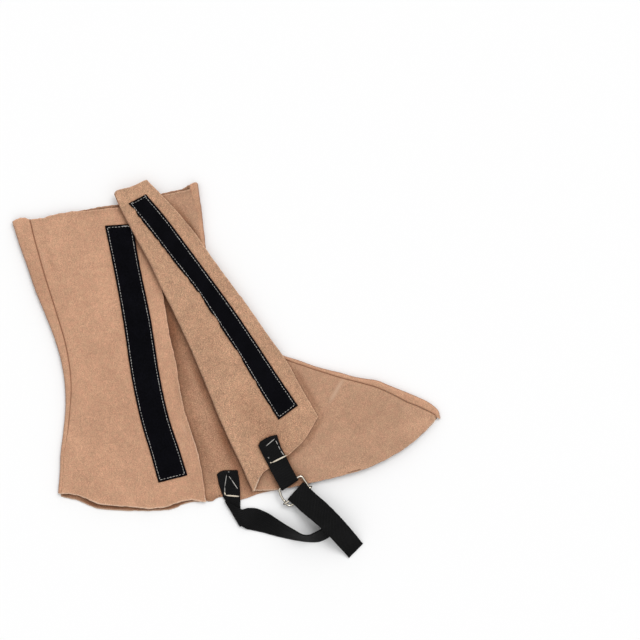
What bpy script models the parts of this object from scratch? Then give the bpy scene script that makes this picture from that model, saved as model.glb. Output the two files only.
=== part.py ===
"""A leather welding legging, laid flat with its hook-and-loop closure open.

The inner panel lies on the floor and rolls round the back edge and round the shin and instep edge, up to
two seams. The outer back panel and the outer front panel go on from those seams, on top of it. The flap is in
one piece with the outer front panel and is folded back over it, so its nap side is up. All lengths are in
millimetres in the tables; the origin moves to the middle of the finished piece at the end.
"""

import math
from collections import namedtuple

import bmesh
import bpy
import numpy as np

# Driving dimensions, mm
WALL = 1.6  # split leather
SEAM_GAP = 0.3
WEB = 1.5  # webbing of the two straps
STRIP = 1.6  # hook strip and loop strip
REST = 0.3  # clear space between a thing and what it lies on
WIRE = 2.2  # diameter of the slider's wire
FLAP_REST = 0.5  # the flap's underside above the panel it is folded over
FOLD_RISE = 2.6  # more than that at the fold, where the leather can't lie flat
FOLD_REACH = 26.0

# Steps of the surfaces
STEPS = 2  # in each row of a table
BASE_COLUMNS = 9
FLAP_COLUMNS = 8
FLAT_COLUMNS = 7
ROLL_STRIP = 0.8  # least flat width between the roll's turn and the seam
TURN_STEPS = 6
WEB_COLUMNS = 2

# The outer front panel: the line where it starts (the flap's fold down to row 17, then the foot's hem), the
# seam with the inner panel, and the outermost edge of that panel's roll.
FrontRow = namedtuple("FrontRow", "low_x low_y seam_x seam_y edge_x edge_y")
FRONT = (
    FrontRow(-128.5, 201.5, -41.0, 207.5, -32.0, 210.0),
    FrontRow(-121.0, 185.0, -37.0, 194.5, -30.0, 196.0),
    FrontRow(-111.5, 166.0, -32.5, 180.0, -27.5, 181.0),
    FrontRow(-100.5, 145.5, -30.5, 164.5, -26.0, 166.0),
    FrontRow(-88.0, 122.5, -29.0, 148.0, -24.0, 149.5),
    FrontRow(-75.5, 95.5, -27.5, 131.5, -22.5, 133.5),
    FrontRow(-62.5, 70.0, -24.0, 112.5, -19.0, 114.5),
    FrontRow(-50.0, 43.5, -16.5, 92.0, -12.0, 95.0),
    FrontRow(-38.5, 18.0, -5.0, 71.0, -1.0, 74.0),
    FrontRow(-27.5, -8.0, 11.0, 51.0, 14.0, 54.0),
    FrontRow(-16.0, -36.0, 29.0, 33.5, 31.5, 36.5),
    FrontRow(-4.5, -64.5, 48.0, 19.5, 50.0, 23.0),
    FrontRow(10.5, -96.5, 67.5, 11.5, 68.5, 15.0),
    FrontRow(20.5, -117.5, 84.5, 5.5, 86.0, 9.5),
    FrontRow(24.0, -126.0, 102.0, 0.0, 103.0, 3.5),
    FrontRow(26.5, -131.5, 118.5, -5.5, 119.5, -1.0),
    FrontRow(29.0, -137.0, 133.0, -10.0, 134.5, -5.0),
    FrontRow(31.0, -142.0, 147.0, -13.5, 148.5, -8.5),
    FrontRow(44.0, -141.0, 160.5, -17.0, 162.5, -11.0),
    FrontRow(62.5, -139.0, 174.0, -21.0, 176.5, -14.0),
    FrontRow(84.5, -135.0, 187.0, -26.5, 190.0, -19.0),
    FrontRow(109.0, -129.5, 199.0, -32.5, 203.0, -24.5),
    FrontRow(135.5, -123.0, 210.5, -38.5, 214.5, -29.0),
    FrontRow(163.5, -114.5, 221.0, -42.5, 225.0, -33.5),
    FrontRow(189.0, -102.5, 229.5, -46.5, 234.5, -38.5),
    FrontRow(212.5, -88.0, 236.0, -49.5, 242.0, -44.0),
    FrontRow(229.5, -73.0, 240.5, -52.0, 246.5, -49.0),
    FrontRow(241.5, -61.0, 243.5, -55.0, 248.0, -54.5),
)
FOLD_END = 17  # the row where the fold reaches the hem

# The flap's free edge, row for row with the fold: down its long side to the corner, then along its end.
FlapRow = namedtuple("FlapRow", "free_x free_y")
FLAP = (
    FlapRow(-91.5, 219.0),
    FlapRow(-78.0, 205.5),
    FlapRow(-58.0, 184.5),
    FlapRow(-36.0, 158.0),
    FlapRow(-15.5, 128.5),
    FlapRow(5.0, 100.5),
    FlapRow(26.5, 71.5),
    FlapRow(48.5, 39.5),
    FlapRow(70.0, 10.0),
    FlapRow(87.5, -21.5),
    FlapRow(107.0, -55.0),
    FlapRow(91.5, -81.0),
    FlapRow(70.0, -101.5),
    FlapRow(46.5, -117.5),
    FlapRow(41.0, -123.5),
    FlapRow(38.5, -128.0),
    FlapRow(37.3, -131.0),
    FlapRow(36.5, -133.0),
)
FLAP_CORNER = 10

# The outer back panel: outermost edge of the roll, seam, and free edge. Row 13 is the hem.
BackRow = namedtuple("BackRow", "edge_x edge_y seam_x seam_y free_x free_y")
BACK = (
    BackRow(-247.5, 171.0, -226.5, 173.0, -93.0, 192.5),
    BackRow(-242.0, 152.0, -222.0, 153.5, -89.0, 170.5),
    BackRow(-235.0, 132.0, -216.5, 133.5, -85.0, 147.5),
    BackRow(-228.0, 112.5, -211.0, 113.5, -80.0, 122.5),
    BackRow(-217.5, 82.5, -202.0, 84.5, -74.0, 95.5),
    BackRow(-206.5, 56.5, -193.5, 57.5, -69.5, 66.5),
    BackRow(-197.0, 30.5, -186.0, 31.5, -64.5, 37.0),
    BackRow(-190.0, 5.0, -181.0, 5.0, -58.0, 8.5),
    BackRow(-186.5, -21.0, -179.0, -21.0, -54.0, -17.5),
    BackRow(-186.0, -47.5, -180.5, -48.0, -48.5, -45.0),
    BackRow(-188.5, -74.0, -183.5, -75.5, -40.0, -72.5),
    BackRow(-191.5, -96.5, -187.0, -97.5, -32.5, -96.5),
    BackRow(-192.5, -120.5, -188.5, -121.0, -27.0, -123.0),
    BackRow(-194.5, -144.5, -190.5, -144.5, -23.0, -154.5),
)

# How far the back panel's hem hangs below a straight line, by the share of its width.
HemRow = namedtuple("HemRow", "share drop")
BACK_HEM = (
    HemRow(0.0, 0.0),
    HemRow(0.05, -0.7),
    HemRow(0.11, 0.5),
    HemRow(0.17, 3.7),
    HemRow(0.26, 9.3),
    HemRow(0.35, 10.3),
    HemRow(0.55, 10.8),
    HemRow(0.6, 11.5),
    HemRow(0.72, 8.5),
    HemRow(0.82, 1.2),
    HemRow(0.9, -2.0),
    HemRow(1.0, 0.0),
)

# How far the top edges rise above a straight line, by the share of the width: of the inner panel's flat part
# from back to shin, of its two rolls from their outermost edge to the seam, and of the outer panels.
TopRow = namedtuple("TopRow", "share rise")
INNER_TOP = (
    TopRow(0.0, 1.4),
    TopRow(0.05, 0.5),
    TopRow(0.11, -2.4),
    TopRow(0.17, -3.2),
    TopRow(0.26, -1.6),
    TopRow(0.5, -1.0),
    TopRow(0.57, -2.0),
    TopRow(0.7, -0.4),
    TopRow(0.86, 2.1),
    TopRow(0.945, 2.4),
    TopRow(1.0, 6.6),
)
BACK_ROLL_TOP = (
    TopRow(0.0, -0.6),
    TopRow(0.3, 2.1),
    TopRow(0.55, 3.0),
    TopRow(0.8, 2.6),
    TopRow(0.92, 1.0),
    TopRow(1.0, -0.6),
)
SHIN_ROLL_TOP = (
    TopRow(0.0, 4.4),
    TopRow(0.2, 6.2),
    TopRow(0.5, 7.0),
    TopRow(0.85, 6.4),
    TopRow(1.0, 5.2),
)
BACK_TOP = (
    TopRow(0.0, -0.6),
    TopRow(0.12, -0.8),
    TopRow(0.17, 1.2),
    TopRow(0.25, 1.9),
    TopRow(0.4, 1.9),
    TopRow(0.49, 0.4),
    TopRow(0.65, -0.2),
    TopRow(0.8, -1.4),
    TopRow(1.0, -1.4),
)
FRONT_TOP = (
    TopRow(0.0, 0.0),
    TopRow(0.2, -2.0),
    TopRow(0.6, -3.2),
    TopRow(0.75, -1.5),
    TopRow(0.86, 0.0),
    TopRow(1.0, 0.7),
)
FLAP_TOP = (
    TopRow(0.0, 0.0),
    TopRow(0.04, 2.2),
    TopRow(0.09, 3.2),
    TopRow(0.15, 3.2),
    TopRow(0.3, 2.0),
    TopRow(0.45, 0.7),
    TopRow(0.6, 0.0),
)

# The inner panel's hem, from the heel corner to the toe.
InnerHem = namedtuple("InnerHem", "x y")
INNER_HEM = (
    InnerHem(-194.5, -145.5),
    InnerHem(-188.0, -149.0),
    InnerHem(-171.5, -152.5),
    InnerHem(-152.0, -161.0),
    InnerHem(-137.0, -163.0),
    InnerHem(-123.0, -164.0),
    InnerHem(-100.0, -164.5),
    InnerHem(-79.0, -164.0),
    InnerHem(-65.0, -163.0),
    InnerHem(-55.5, -160.0),
    InnerHem(-48.5, -156.5),
    InnerHem(-39.5, -154.5),
    InnerHem(-23.0, -153.5),
    InnerHem(-15.0, -153.0),
    InnerHem(-9.5, -149.0),
    InnerHem(0.0, -148.5),
    InnerHem(11.5, -152.5),
    InnerHem(23.0, -150.0),
    InnerHem(36.0, -145.5),
    InnerHem(50.0, -142.0),
    InnerHem(67.5, -139.0),
    InnerHem(90.5, -133.5),
    InnerHem(116.0, -128.0),
    InnerHem(144.0, -120.5),
    InnerHem(171.5, -111.5),
    InnerHem(197.0, -98.0),
    InnerHem(218.0, -83.5),
    InnerHem(233.0, -70.0),
    InnerHem(244.0, -58.5),
)
HEEL = 13  # the row of the heel corner

# The two black strips, as left and right edges from the top down.
EdgePair = namedtuple("EdgePair", "left_x left_y right_x right_y")
LOOP = (
    EdgePair(-140.0, 166.0, -108.0, 168.0),
    EdgePair(-129.5, 115.0, -99.0, 117.0),
    EdgePair(-119.0, 57.0, -87.0, 59.0),
    EdgePair(-109.0, -9.5, -76.5, -7.0),
    EdgePair(-98.5, -59.0, -66.0, -55.0),
    EdgePair(-87.5, -96.5, -54.5, -90.5),
    EdgePair(-78.0, -131.5, -44.5, -123.0),
)
HOOK = (
    EdgePair(-112.0, 191.0, -92.0, 202.0),
    EdgePair(-88.0, 161.0, -69.0, 175.0),
    EdgePair(-61.0, 126.0, -42.0, 139.0),
    EdgePair(-33.5, 90.5, -15.5, 103.0),
    EdgePair(-10.0, 55.0, 9.5, 68.5),
    EdgePair(15.5, 16.0, 35.5, 30.0),
    EdgePair(37.5, -21.0, 58.0, -4.5),
    EdgePair(61.0, -58.5, 83.5, -42.0),
)

# Height of the outer front panel's underside, along the fold (0 top, 1 hem) and away from it.
FOLD_TOP = (-128.5, 201.5)
FOLD_FOOT = (31.0, -142.0)
FrontHeight = namedtuple("FrontHeight", "along at_fold away")
FRONT_HEIGHTS = (
    FrontHeight(0.0, 8.4, 7.4),
    FrontHeight(0.1, 8.4, 7.4),
    FrontHeight(0.2, 8.0, 7.3),
    FrontHeight(0.3, 7.2, 7.2),
    FrontHeight(0.4, 5.6, 7.0),
    FrontHeight(0.5, 3.8, 6.9),
    FrontHeight(0.6, 2.8, 6.8),
    FrontHeight(0.8, 2.3, 6.8),
    FrontHeight(1.1, 2.1, 6.8),
)
FRONT_EASE = 35.0  # from the fold's height to the panel's own

# Soft dips of that panel: in the bend of the ankle, at the toe, and under the slider.
Dip = namedtuple("Dip", "x y depth reach")
DIPS = (
    Dip(70.0, 13.0, 2.6, 45.0),
    Dip(248.0, -54.0, 3.2, 40.0),
    Dip(80.0, -132.0, 2.6, 30.0),
)

# Height of the outer back panel's underside, at its seam and at its free edge.
BackHeight = namedtuple("BackHeight", "y at_seam at_free")
BACK_HEIGHTS = (
    BackHeight(-154.0, 4.0, 2.2),
    BackHeight(-137.0, 4.1, 2.4),
    BackHeight(-117.0, 4.3, 3.2),
    BackHeight(-90.0, 4.6, 4.2),
    BackHeight(-64.0, 4.9, 5.0),
    BackHeight(-20.0, 5.3, 5.2),
    BackHeight(29.0, 5.7, 4.4),
    BackHeight(63.0, 6.0, 3.6),
    BackHeight(96.0, 6.3, 3.2),
    BackHeight(192.0, 6.8, 3.4),
)

# The long strap, as its two edges: from the inner panel down to the fold beyond the hem.
Station = namedtuple("Station", "left_x left_y left_z right_x right_y right_z")
LONG_SEWN = (
    Station(-10.0, -122.0, 2.65, 14.0, -117.0, 2.65),
    Station(-6.0, -135.5, 2.65, 15.5, -133.5, 2.65),
    Station(-1.5, -148.0, 2.65, 16.5, -151.0, 2.7),
    Station(-0.6, -150.2, 2.65, 17.0, -163.0, 1.6),
)
LONG_FOLD = (-1.5, -153.0, 16.0, -183.0)
LONG_FOLD_HEIGHTS = (2.65, 0.85, 5.4, 3.6)  # lower ply left and right, upper ply left and right
# Then along the floor, up on its lower edge and round, and back to the slider.
LONG_LOOP = (
    Station(17.0, -162.0, 4.2, 24.0, -185.5, 2.4),
    Station(25.5, -161.0, 2.4, 28.5, -186.5, 1.4),
    Station(35.0, -161.5, 1.2, 35.0, -188.0, 0.85),
    Station(43.5, -164.5, 3.5, 40.0, -189.0, 0.85),
    Station(51.5, -168.0, 8.0, 44.5, -190.0, 0.85),
    Station(61.0, -174.0, 13.0, 53.5, -192.5, 0.8),
    Station(70.0, -179.5, 17.0, 64.0, -195.0, 0.7),
    Station(79.5, -185.0, 20.0, 75.5, -197.5, 0.5),
    Station(88.5, -190.0, 21.0, 87.5, -199.5, 0.5),
    Station(96.5, -190.5, 21.0, 97.5, -200.5, 0.5),
    Station(104.5, -187.0, 20.0, 108.5, -200.0, 0.5),
    Station(111.0, -183.5, 19.0, 119.0, -195.0, 0.6),
    Station(113.5, -178.5, 18.5, 125.5, -187.5, 0.7),
    Station(113.5, -174.0, 17.5, 127.5, -176.5, 0.8),
    Station(109.5, -170.0, 16.0, 124.0, -165.5, 0.85),
    Station(101.5, -167.0, 12.0, 116.5, -156.0, 0.85),
    Station(92.0, -163.0, 6.5, 108.0, -149.5, 0.85),
    Station(84.5, -158.5, 3.0, 100.5, -142.5, 1.6),
    Station(78.5, -154.5, 4.4, 95.2, -138.0, 5.4),
)
LONG_TURN = (71.3, -150.4, 89.3, -130.2)
# The free end, over the slider and down to the floor.
LONG_TAIL = (
    Station(79.5, -157.0, 12.2, 97.5, -137.5, 13.2),
    Station(87.0, -164.0, 13.6, 104.5, -144.0, 14.4),
    Station(98.5, -173.0, 19.3, 116.0, -153.5, 19.3),
    Station(110.0, -182.5, 22.6, 127.5, -164.5, 22.3),
    Station(120.5, -193.0, 21.0, 138.0, -176.0, 21.0),
    Station(129.5, -203.5, 13.5, 147.5, -187.5, 13.5),
    Station(136.5, -211.5, 6.0, 153.5, -195.5, 6.0),
    Station(142.5, -219.0, 1.6, 159.0, -202.5, 1.6),
)

# The short strap: edges from its sewn end to the slider, and its height above the flap's wall.
SHORT = (
    EdgePair(37.5, -87.5, 59.5, -76.0),
    EdgePair(42.0, -97.5, 64.0, -90.0),
    EdgePair(49.5, -111.5, 71.0, -103.0),
    EdgePair(54.0, -121.0, 75.0, -111.5),
)
SHORT_TURN = (65.3, -140.7, 84.4, -128.1)
SHORT_RADIUS = 2.4

# The slider: corners of the wire frame, and the cross bar on its two sides.
FRAME_CORNERS = ((60.9, -139.2), (87.4, -122.4), (99.8, -142.4), (72.3, -159.8))
FRAME_HEIGHTS = (10.8, 10.8, 6.8, 6.8)
FRAME_RADII = (3.0, 4.0, 6.0, 6.0)
BAR_SHARE = 0.75  # the cross bar's place on the sides, from the sewn end bar
BAR_RADIUS = 2.2  # of the long strap round the cross bar, to the middle of the webbing
BAR_HOOK = math.radians(130)

ORIGIN = (0.26, -0.1)  # middle of the finished piece in the tables' frame


def column(rows, x_name, y_name):
    """Two named columns of a table as an array of plan points."""
    return np.array([(getattr(row, x_name), getattr(row, y_name)) for row in rows])


def smooth(points, steps, corners=()):
    """The points with a soft curve through them, `steps` to a row, and a sharp turn at each corner row."""
    points = np.asarray(points, float)
    last = len(points) - 1
    marks = [0, *corners, last]
    found = [points[:1]]
    for start, end in zip(marks[:-1], marks[1:]):
        part = points[start : end + 1]
        slope = np.gradient(part, axis=0)
        for i in range(end - start):
            for k in range(1, steps + 1):
                t = k / steps
                a = 2 * t**3 - 3 * t**2 + 1
                b = t**3 - 2 * t**2 + t
                c = 3 * t**2 - 2 * t**3
                d = t**3 - t**2
                found.append((a * part[i] + b * slope[i] + c * part[i + 1] + d * slope[i + 1])[None])
    return np.concatenate(found)


def even(points, count):
    """The line through these points, cut to `count` evenly spaced ones."""
    lengths = np.linalg.norm(np.diff(points, axis=0), axis=1)
    along = np.concatenate([[0], np.cumsum(lengths)])
    wanted = np.linspace(0, along[-1], count)
    return np.stack([np.interp(wanted, along, points[:, k]) for k in range(points.shape[1])], axis=1)


def ease(t):
    t = np.clip(t, 0, 1)
    return t * t * (3 - 2 * t)


def fold_frame(plan):
    """(along, away): the share of the fold's length, and the distance from it in mm."""
    axis = np.subtract(FOLD_FOOT, FOLD_TOP)
    length = np.linalg.norm(axis)
    axis = axis / length
    offset = plan - np.array(FOLD_TOP)
    return offset @ axis / length, offset @ np.array([-axis[1], axis[0]])


def fold_normal():
    axis = np.subtract(FOLD_FOOT, FOLD_TOP)
    axis = axis / np.linalg.norm(axis)
    return np.array([-axis[1], axis[0]])


def front_lift(plan):
    """Height of the outer front panel's underside at these plan points."""
    along, away = fold_frame(plan)
    table = np.array(FRONT_HEIGHTS)
    at_fold = np.interp(along, table[:, 0], table[:, 1])
    further = np.interp(along, table[:, 0], table[:, 2])
    lift = at_fold + (further - at_fold) * ease(away / FRONT_EASE)
    for dip in DIPS:
        distance = np.hypot(plan[..., 0] - dip.x, plan[..., 1] - dip.y)
        lift = lift - dip.depth * np.exp(-((distance / dip.reach) ** 2))
    return lift


def flap_lift(plan):
    """Height of the flap's underside."""
    away = fold_frame(plan)[1]
    return front_lift(plan) + WALL + FLAP_REST + FOLD_RISE * np.exp(-((away / FOLD_REACH) ** 2))


def back_lift(plan):
    """Height of the outer back panel's underside."""
    rows = BACK[::-1]
    seam = np.interp(plan[..., 1], [row.seam_y for row in rows], [row.seam_x for row in rows])
    free = np.interp(plan[..., 1], [row.free_y for row in rows], [row.free_x for row in rows])
    table = np.array(BACK_HEIGHTS)
    at_seam = np.interp(plan[..., 1], table[:, 0], table[:, 1])
    at_free = np.interp(plan[..., 1], table[:, 0], table[:, 2])
    return at_seam + (at_free - at_seam) * ease((plan[..., 0] - seam) / (free - seam))


def lifted(plan, height):
    """Plan points with their height as a third number."""
    return np.concatenate([plan, np.broadcast_to(height, plan.shape[:-1])[..., None]], axis=-1)


def between(start, end, columns):
    """Rows of plan points from each start point to its end point."""
    share = np.linspace(0, 1, columns + 1)[None, :, None]
    return start[:, None] * (1 - share) + end[:, None] * share


def raise_top(grid, share, table):
    """Moves the grid's top row up along the panel by the table's rise at these shares of its width."""
    up = grid[0, :, :2] - grid[1, :, :2]
    up = up / np.linalg.norm(up, axis=1)[:, None]
    rise = np.interp(share, [row.share for row in table], [row.rise for row in table])
    grid[0, :, :2] += up * rise[:, None]


def roll_share(rows, edge, seam):
    """Where the roll's top points lie between its outermost edge and the seam."""
    inward = seam[0] - edge[0]
    return (rows[0, :, :2] - edge[0]) @ inward / (inward @ inward)


def roll(edge, seam, lift):
    """One side of the inner panel's roll: (where its flat part ends, the rows of its turn and strip, the seam)."""
    height = lift(seam) + WALL
    inward = seam - edge
    width = np.linalg.norm(inward, axis=1)
    inward = inward / width[:, None]
    width = np.maximum(width, height / 2 + ROLL_STRIP)
    foot = edge + inward * (height / 2)[:, None]
    radius = (height - WALL) / 2
    rows = []
    for k in range(TURN_STEPS + 1):
        angle = math.pi * k / TURN_STEPS - math.pi / 2
        plan = foot - inward * (radius * math.cos(angle))[:, None]
        rows.append(lifted(plan, height / 2 + radius * math.sin(angle)))
    end = edge + inward * (width - SEAM_GAP / 2)[:, None]
    rows.append(lifted(end, height - WALL / 2))
    return foot, np.stack(rows, axis=1), edge + inward * (width + SEAM_GAP / 2)[:, None]


def front_roll():
    edge = smooth(column(FRONT, "edge_x", "edge_y"), STEPS)
    seam = smooth(column(FRONT, "seam_x", "seam_y"), STEPS)
    foot, rows, beyond = roll(edge, seam, front_lift)
    raise_top(rows, roll_share(rows, edge, seam), SHIN_ROLL_TOP)
    return foot, rows, beyond


def back_roll():
    edge = smooth(column(BACK, "edge_x", "edge_y"), STEPS)
    seam = smooth(column(BACK, "seam_x", "seam_y"), STEPS)
    foot, rows, beyond = roll(edge, seam, back_lift)
    raise_top(rows, roll_share(rows, edge, seam), BACK_ROLL_TOP)
    return foot, rows, beyond


def inner_surface():
    """Grids of the inner panel: its flat part, and the rolls on its two sides."""
    shin_foot, shin_rows, _ = front_roll()
    back_foot, back_rows, _ = back_roll()
    hem = even(smooth(column(INNER_HEM, "x", "y"), 4), (len(FRONT) - 1 - HEEL) * STEPS + 1)
    flat = between(np.concatenate([back_foot, hem[1:]]), shin_foot, FLAT_COLUMNS)
    flat = lifted(flat, WALL / 2)
    raise_top(flat, np.linspace(0, 1, FLAT_COLUMNS + 1), INNER_TOP)
    flat[0, 0] = back_rows[0, 0]
    flat[0, -1] = shin_rows[0, 0]
    return [flat, shin_rows, back_rows]


def front_surface():
    """Grids of the outer front panel: panel, and the flap with its fold."""
    normal = fold_normal()
    low = smooth(column(FRONT, "low_x", "low_y"), STEPS, (FOLD_END,))
    row = np.arange(len(low)) / STEPS
    reach = WALL / 2 + (WALL + FLAP_REST + FOLD_RISE) / 2
    start = low + normal * (reach * np.clip(1 + FOLD_END - row, 0, 1))[:, None]
    base = between(start, front_roll()[2], BASE_COLUMNS)
    raise_top(base, np.linspace(0, 1, BASE_COLUMNS + 1), FRONT_TOP)
    base = lifted(base, front_lift(base) + WALL / 2)
    start = start[: FOLD_END * STEPS + 1]
    below = front_lift(start) + WALL / 2
    above = flap_lift(start) + WALL / 2
    radius = (above - below) / 2
    fold = []
    for k in range(TURN_STEPS + 1):
        angle = math.pi * k / TURN_STEPS - math.pi / 2
        plan = start - normal * (radius * math.cos(angle))[:, None]
        fold.append(lifted(plan, (below + above) / 2 + radius * math.sin(angle)))
    free = smooth(column(FLAP, "free_x", "free_y"), STEPS, (FLAP_CORNER,))
    flap = between(start, free, FLAP_COLUMNS)
    raise_top(flap, np.linspace(0, 1, FLAP_COLUMNS + 1), FLAP_TOP)
    flap = lifted(flap, flap_lift(flap) + WALL / 2)
    return [base, np.stack(fold, axis=1), flap]


def back_surface():
    seam = back_roll()[2]
    free = smooth(column(BACK, "free_x", "free_y"), STEPS)
    panel = between(seam, free, 2 * FLAT_COLUMNS)
    share = np.linspace(0, 1, 2 * FLAT_COLUMNS + 1)
    drop = np.interp(share, [row.share for row in BACK_HEM], [row.drop for row in BACK_HEM])
    down = np.linspace(0, 1, len(panel)) ** 3
    panel[..., 1] -= down[:, None] * drop
    raise_top(panel, share, BACK_TOP)
    return [lifted(panel, back_lift(panel) + WALL / 2)]


def strip_surface(rows, lift):
    """A strip sewn on a panel, made from that panel's own height."""
    left = smooth(column(rows, "left_x", "left_y"), 2 * STEPS)
    right = smooth(column(rows, "right_x", "right_y"), 2 * STEPS)
    plan = between(left, right, 3)
    return [lifted(plan, lift(plan) + WALL + REST + STRIP / 2)]


def web_turn(line, low, high):
    """Stations of a strap's turn about a line, from the lower ply to the upper one; it bulges to the line's left.

    low and high are the plies' heights at the line's two ends."""
    ends = np.array(line).reshape(2, 2)
    across = ends[1] - ends[0]
    across = across / np.linalg.norm(across)
    outward = np.array([-across[1], across[0]])
    low, high = np.array(low), np.array(high)
    radius = ((high - low) / 2)[:, None]
    middle = (low + high) / 2
    stations = []
    for k in range(TURN_STEPS + 1):
        angle = math.pi * k / TURN_STEPS - math.pi / 2
        plan = ends - outward * (radius + WEB / 2 - radius * math.cos(angle))
        stations.append(lifted(plan, middle + radius[:, 0] * math.sin(angle)))
    return np.array(stations)


def web_run(stations, steps):
    """A soft run of strap through these stations (pairs of edge points)."""
    return smooth(np.asarray(stations).reshape(-1, 6), steps).reshape(-1, 2, 3)


def pairs(table):
    return np.array(table, float).reshape(-1, 2, 3)


def bar_height():
    share = BAR_SHARE
    side = FRAME_HEIGHTS[0] * (1 - share) + FRAME_HEIGHTS[3] * share
    return side + WIRE + REST


def web_grid(stations):
    return stations[:, :1] + (stations[:, 1:] - stations[:, :1]) * np.linspace(0, 1, WEB_COLUMNS + 1)[None, :, None]


def long_surface():
    fold_line = (*LONG_FOLD[2:], *LONG_FOLD[:2])
    fold = web_turn(fold_line, LONG_FOLD_HEIGHTS[1::-1], LONG_FOLD_HEIGHTS[:1:-1])[:, ::-1]
    turn = web_turn(LONG_TURN, [bar_height() - BAR_RADIUS] * 2, [bar_height() + BAR_RADIUS] * 2)
    runs = [
        web_run(np.concatenate([pairs(LONG_SEWN), fold[:1]]), STEPS),
        fold[1:-1],
        web_run(np.concatenate([fold[-1:], pairs(LONG_LOOP), turn[:1]]), STEPS),
        turn[1:-1],
        web_run(np.concatenate([turn[-1:], pairs(LONG_TAIL)]), STEPS),
    ]
    return [web_grid(np.concatenate(runs))]


def short_surface():
    edges = np.array(SHORT, float).reshape(-1, 2, 2)
    lower = lifted(edges, flap_lift(edges) + WALL + REST + WEB / 2)
    upper = lower + np.array([0, 0, WEB + REST])
    centre = FRAME_HEIGHTS[0]
    line = (*SHORT_TURN[2:], *SHORT_TURN[:2])
    turn = web_turn(line, [centre - SHORT_RADIUS] * 2, [centre + SHORT_RADIUS] * 2)[:, ::-1]
    runs = [
        web_run(np.concatenate([lower, turn[:1]]), STEPS),
        turn[1:-1],
        web_run(np.concatenate([turn[-1:], upper[::-1]]), STEPS),
    ]
    return [web_grid(np.concatenate(runs))]


def new_object(name, data):
    obj = bpy.data.objects.new(name, data)
    bpy.data.collections["legging"].objects.link(obj)
    return obj


def surface_object(name, grids, wall, material):
    """One sheet of these grids, joined where they meet, with its wall to both sides."""
    shape = bmesh.new()
    for grid in grids:
        grid = (grid - np.array([*ORIGIN, 0])) / 1000
        points = [[shape.verts.new(point) for point in row] for row in grid]
        for upper, lower in zip(points[:-1], points[1:]):
            for k in range(len(upper) - 1):
                shape.faces.new((upper[k], upper[k + 1], lower[k + 1], lower[k]))
    bmesh.ops.remove_doubles(shape, verts=shape.verts, dist=1e-5)
    bmesh.ops.recalc_face_normals(shape, faces=shape.faces)
    mesh = bpy.data.meshes.new(name)
    shape.to_mesh(mesh)
    shape.free()
    mesh.materials.append(material)
    obj = new_object(name, mesh)
    solid = obj.modifiers.new("wall", "SOLIDIFY")
    solid.thickness = wall / 1000
    solid.offset = 0
    solid.use_even_offset = True
    solid.use_quality_normals = True
    return obj


def wire_object(name, points, cyclic, material):
    """A round wire through these points, in mm."""
    curve = bpy.data.curves.new(name, "CURVE")
    curve.dimensions = "3D"
    curve.bevel_depth = WIRE / 2000
    curve.bevel_resolution = 2
    curve.use_fill_caps = True
    spline = curve.splines.new("POLY")
    points = (np.asarray(points) - np.array([*ORIGIN, 0])) / 1000
    spline.points.add(len(points) - 1)
    for target, point in zip(spline.points, points):
        target.co = (*point, 1)
    spline.use_cyclic_u = cyclic
    curve.materials.append(material)
    return new_object(name, curve)


def frame_points():
    """The wire frame's centre line, with round corners."""
    corners = lifted(np.array(FRAME_CORNERS), np.array(FRAME_HEIGHTS))
    points = []
    for i, corner in enumerate(corners):
        before = corners[i - 1] - corner
        after = corners[(i + 1) % 4] - corner
        before = before / np.linalg.norm(before) * FRAME_RADII[i]
        after = after / np.linalg.norm(after) * FRAME_RADII[i]
        for t in np.linspace(0, 1, 5):
            points.append(corner + before * (1 - t) ** 2 + after * t**2)
    return points


def bar_points():
    """The cross bar's centre line: over the two sides, with its ends hooked down outside them."""
    a, b, c, d = lifted(np.array(FRAME_CORNERS), np.array(FRAME_HEIGHTS))
    left = a + (d - a) * BAR_SHARE
    right = b + (c - b) * BAR_SHARE
    outward = (right - left)[:2]
    outward = outward / np.linalg.norm(outward)
    radius = WIRE + REST
    points = []
    for side, sign in ((left, -1), (right, 1)):
        hook = []
        for k in range(TURN_STEPS + 1):
            angle = math.pi / 2 - BAR_HOOK * k / TURN_STEPS
            offset = sign * radius * math.cos(angle)
            hook.append((*(side[:2] + outward * offset), side[2] + radius * math.sin(angle)))
        points.extend(hook[::-1] if sign < 0 else hook)
    return points


def material(name, colour, rough, metal=0.0):
    made = bpy.data.materials.new(name)
    made.use_nodes = True
    shader = made.node_tree.nodes["Principled BSDF"]
    shader.inputs["Base Color"].default_value = (*colour, 1)
    shader.inputs["Roughness"].default_value = rough
    shader.inputs["Metallic"].default_value = metal
    return made


def build():
    for obj in list(bpy.data.objects):
        bpy.data.objects.remove(obj)
    collection = bpy.data.collections.new("legging")
    bpy.context.scene.collection.children.link(collection)
    suede = (0.56, 0.33, 0.21)
    nap = (0.42, 0.25, 0.16)
    black = (0.006, 0.006, 0.008)
    webbing = (0.011, 0.011, 0.012)
    nickel = (0.62, 0.58, 0.52)
    surface_object("medial_panel", inner_surface(), WALL, material("suede_inner", suede, 0.95))
    surface_object("lateral_back_panel", back_surface(), WALL, material("suede_back", suede, 0.95))
    surface_object("lateral_front_panel", front_surface(), WALL, material("suede_front", nap, 0.95))
    surface_object("loop_strip", strip_surface(LOOP, back_lift), STRIP, material("loop_tape", black, 0.9))
    surface_object("hook_strip", strip_surface(HOOK, flap_lift), STRIP, material("hook_tape", black, 0.9))
    surface_object("stirrup_strap", long_surface(), WEB, material("stirrup_webbing", webbing, 0.8))
    surface_object("buckle_strap", short_surface(), WEB, material("buckle_webbing", webbing, 0.8))
    wire_object("slider_frame", frame_points(), True, material("frame_wire", nickel, 0.3, 1.0))
    wire_object("slider_bar", bar_points(), False, material("bar_wire", nickel, 0.3, 1.0))


build()
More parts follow.
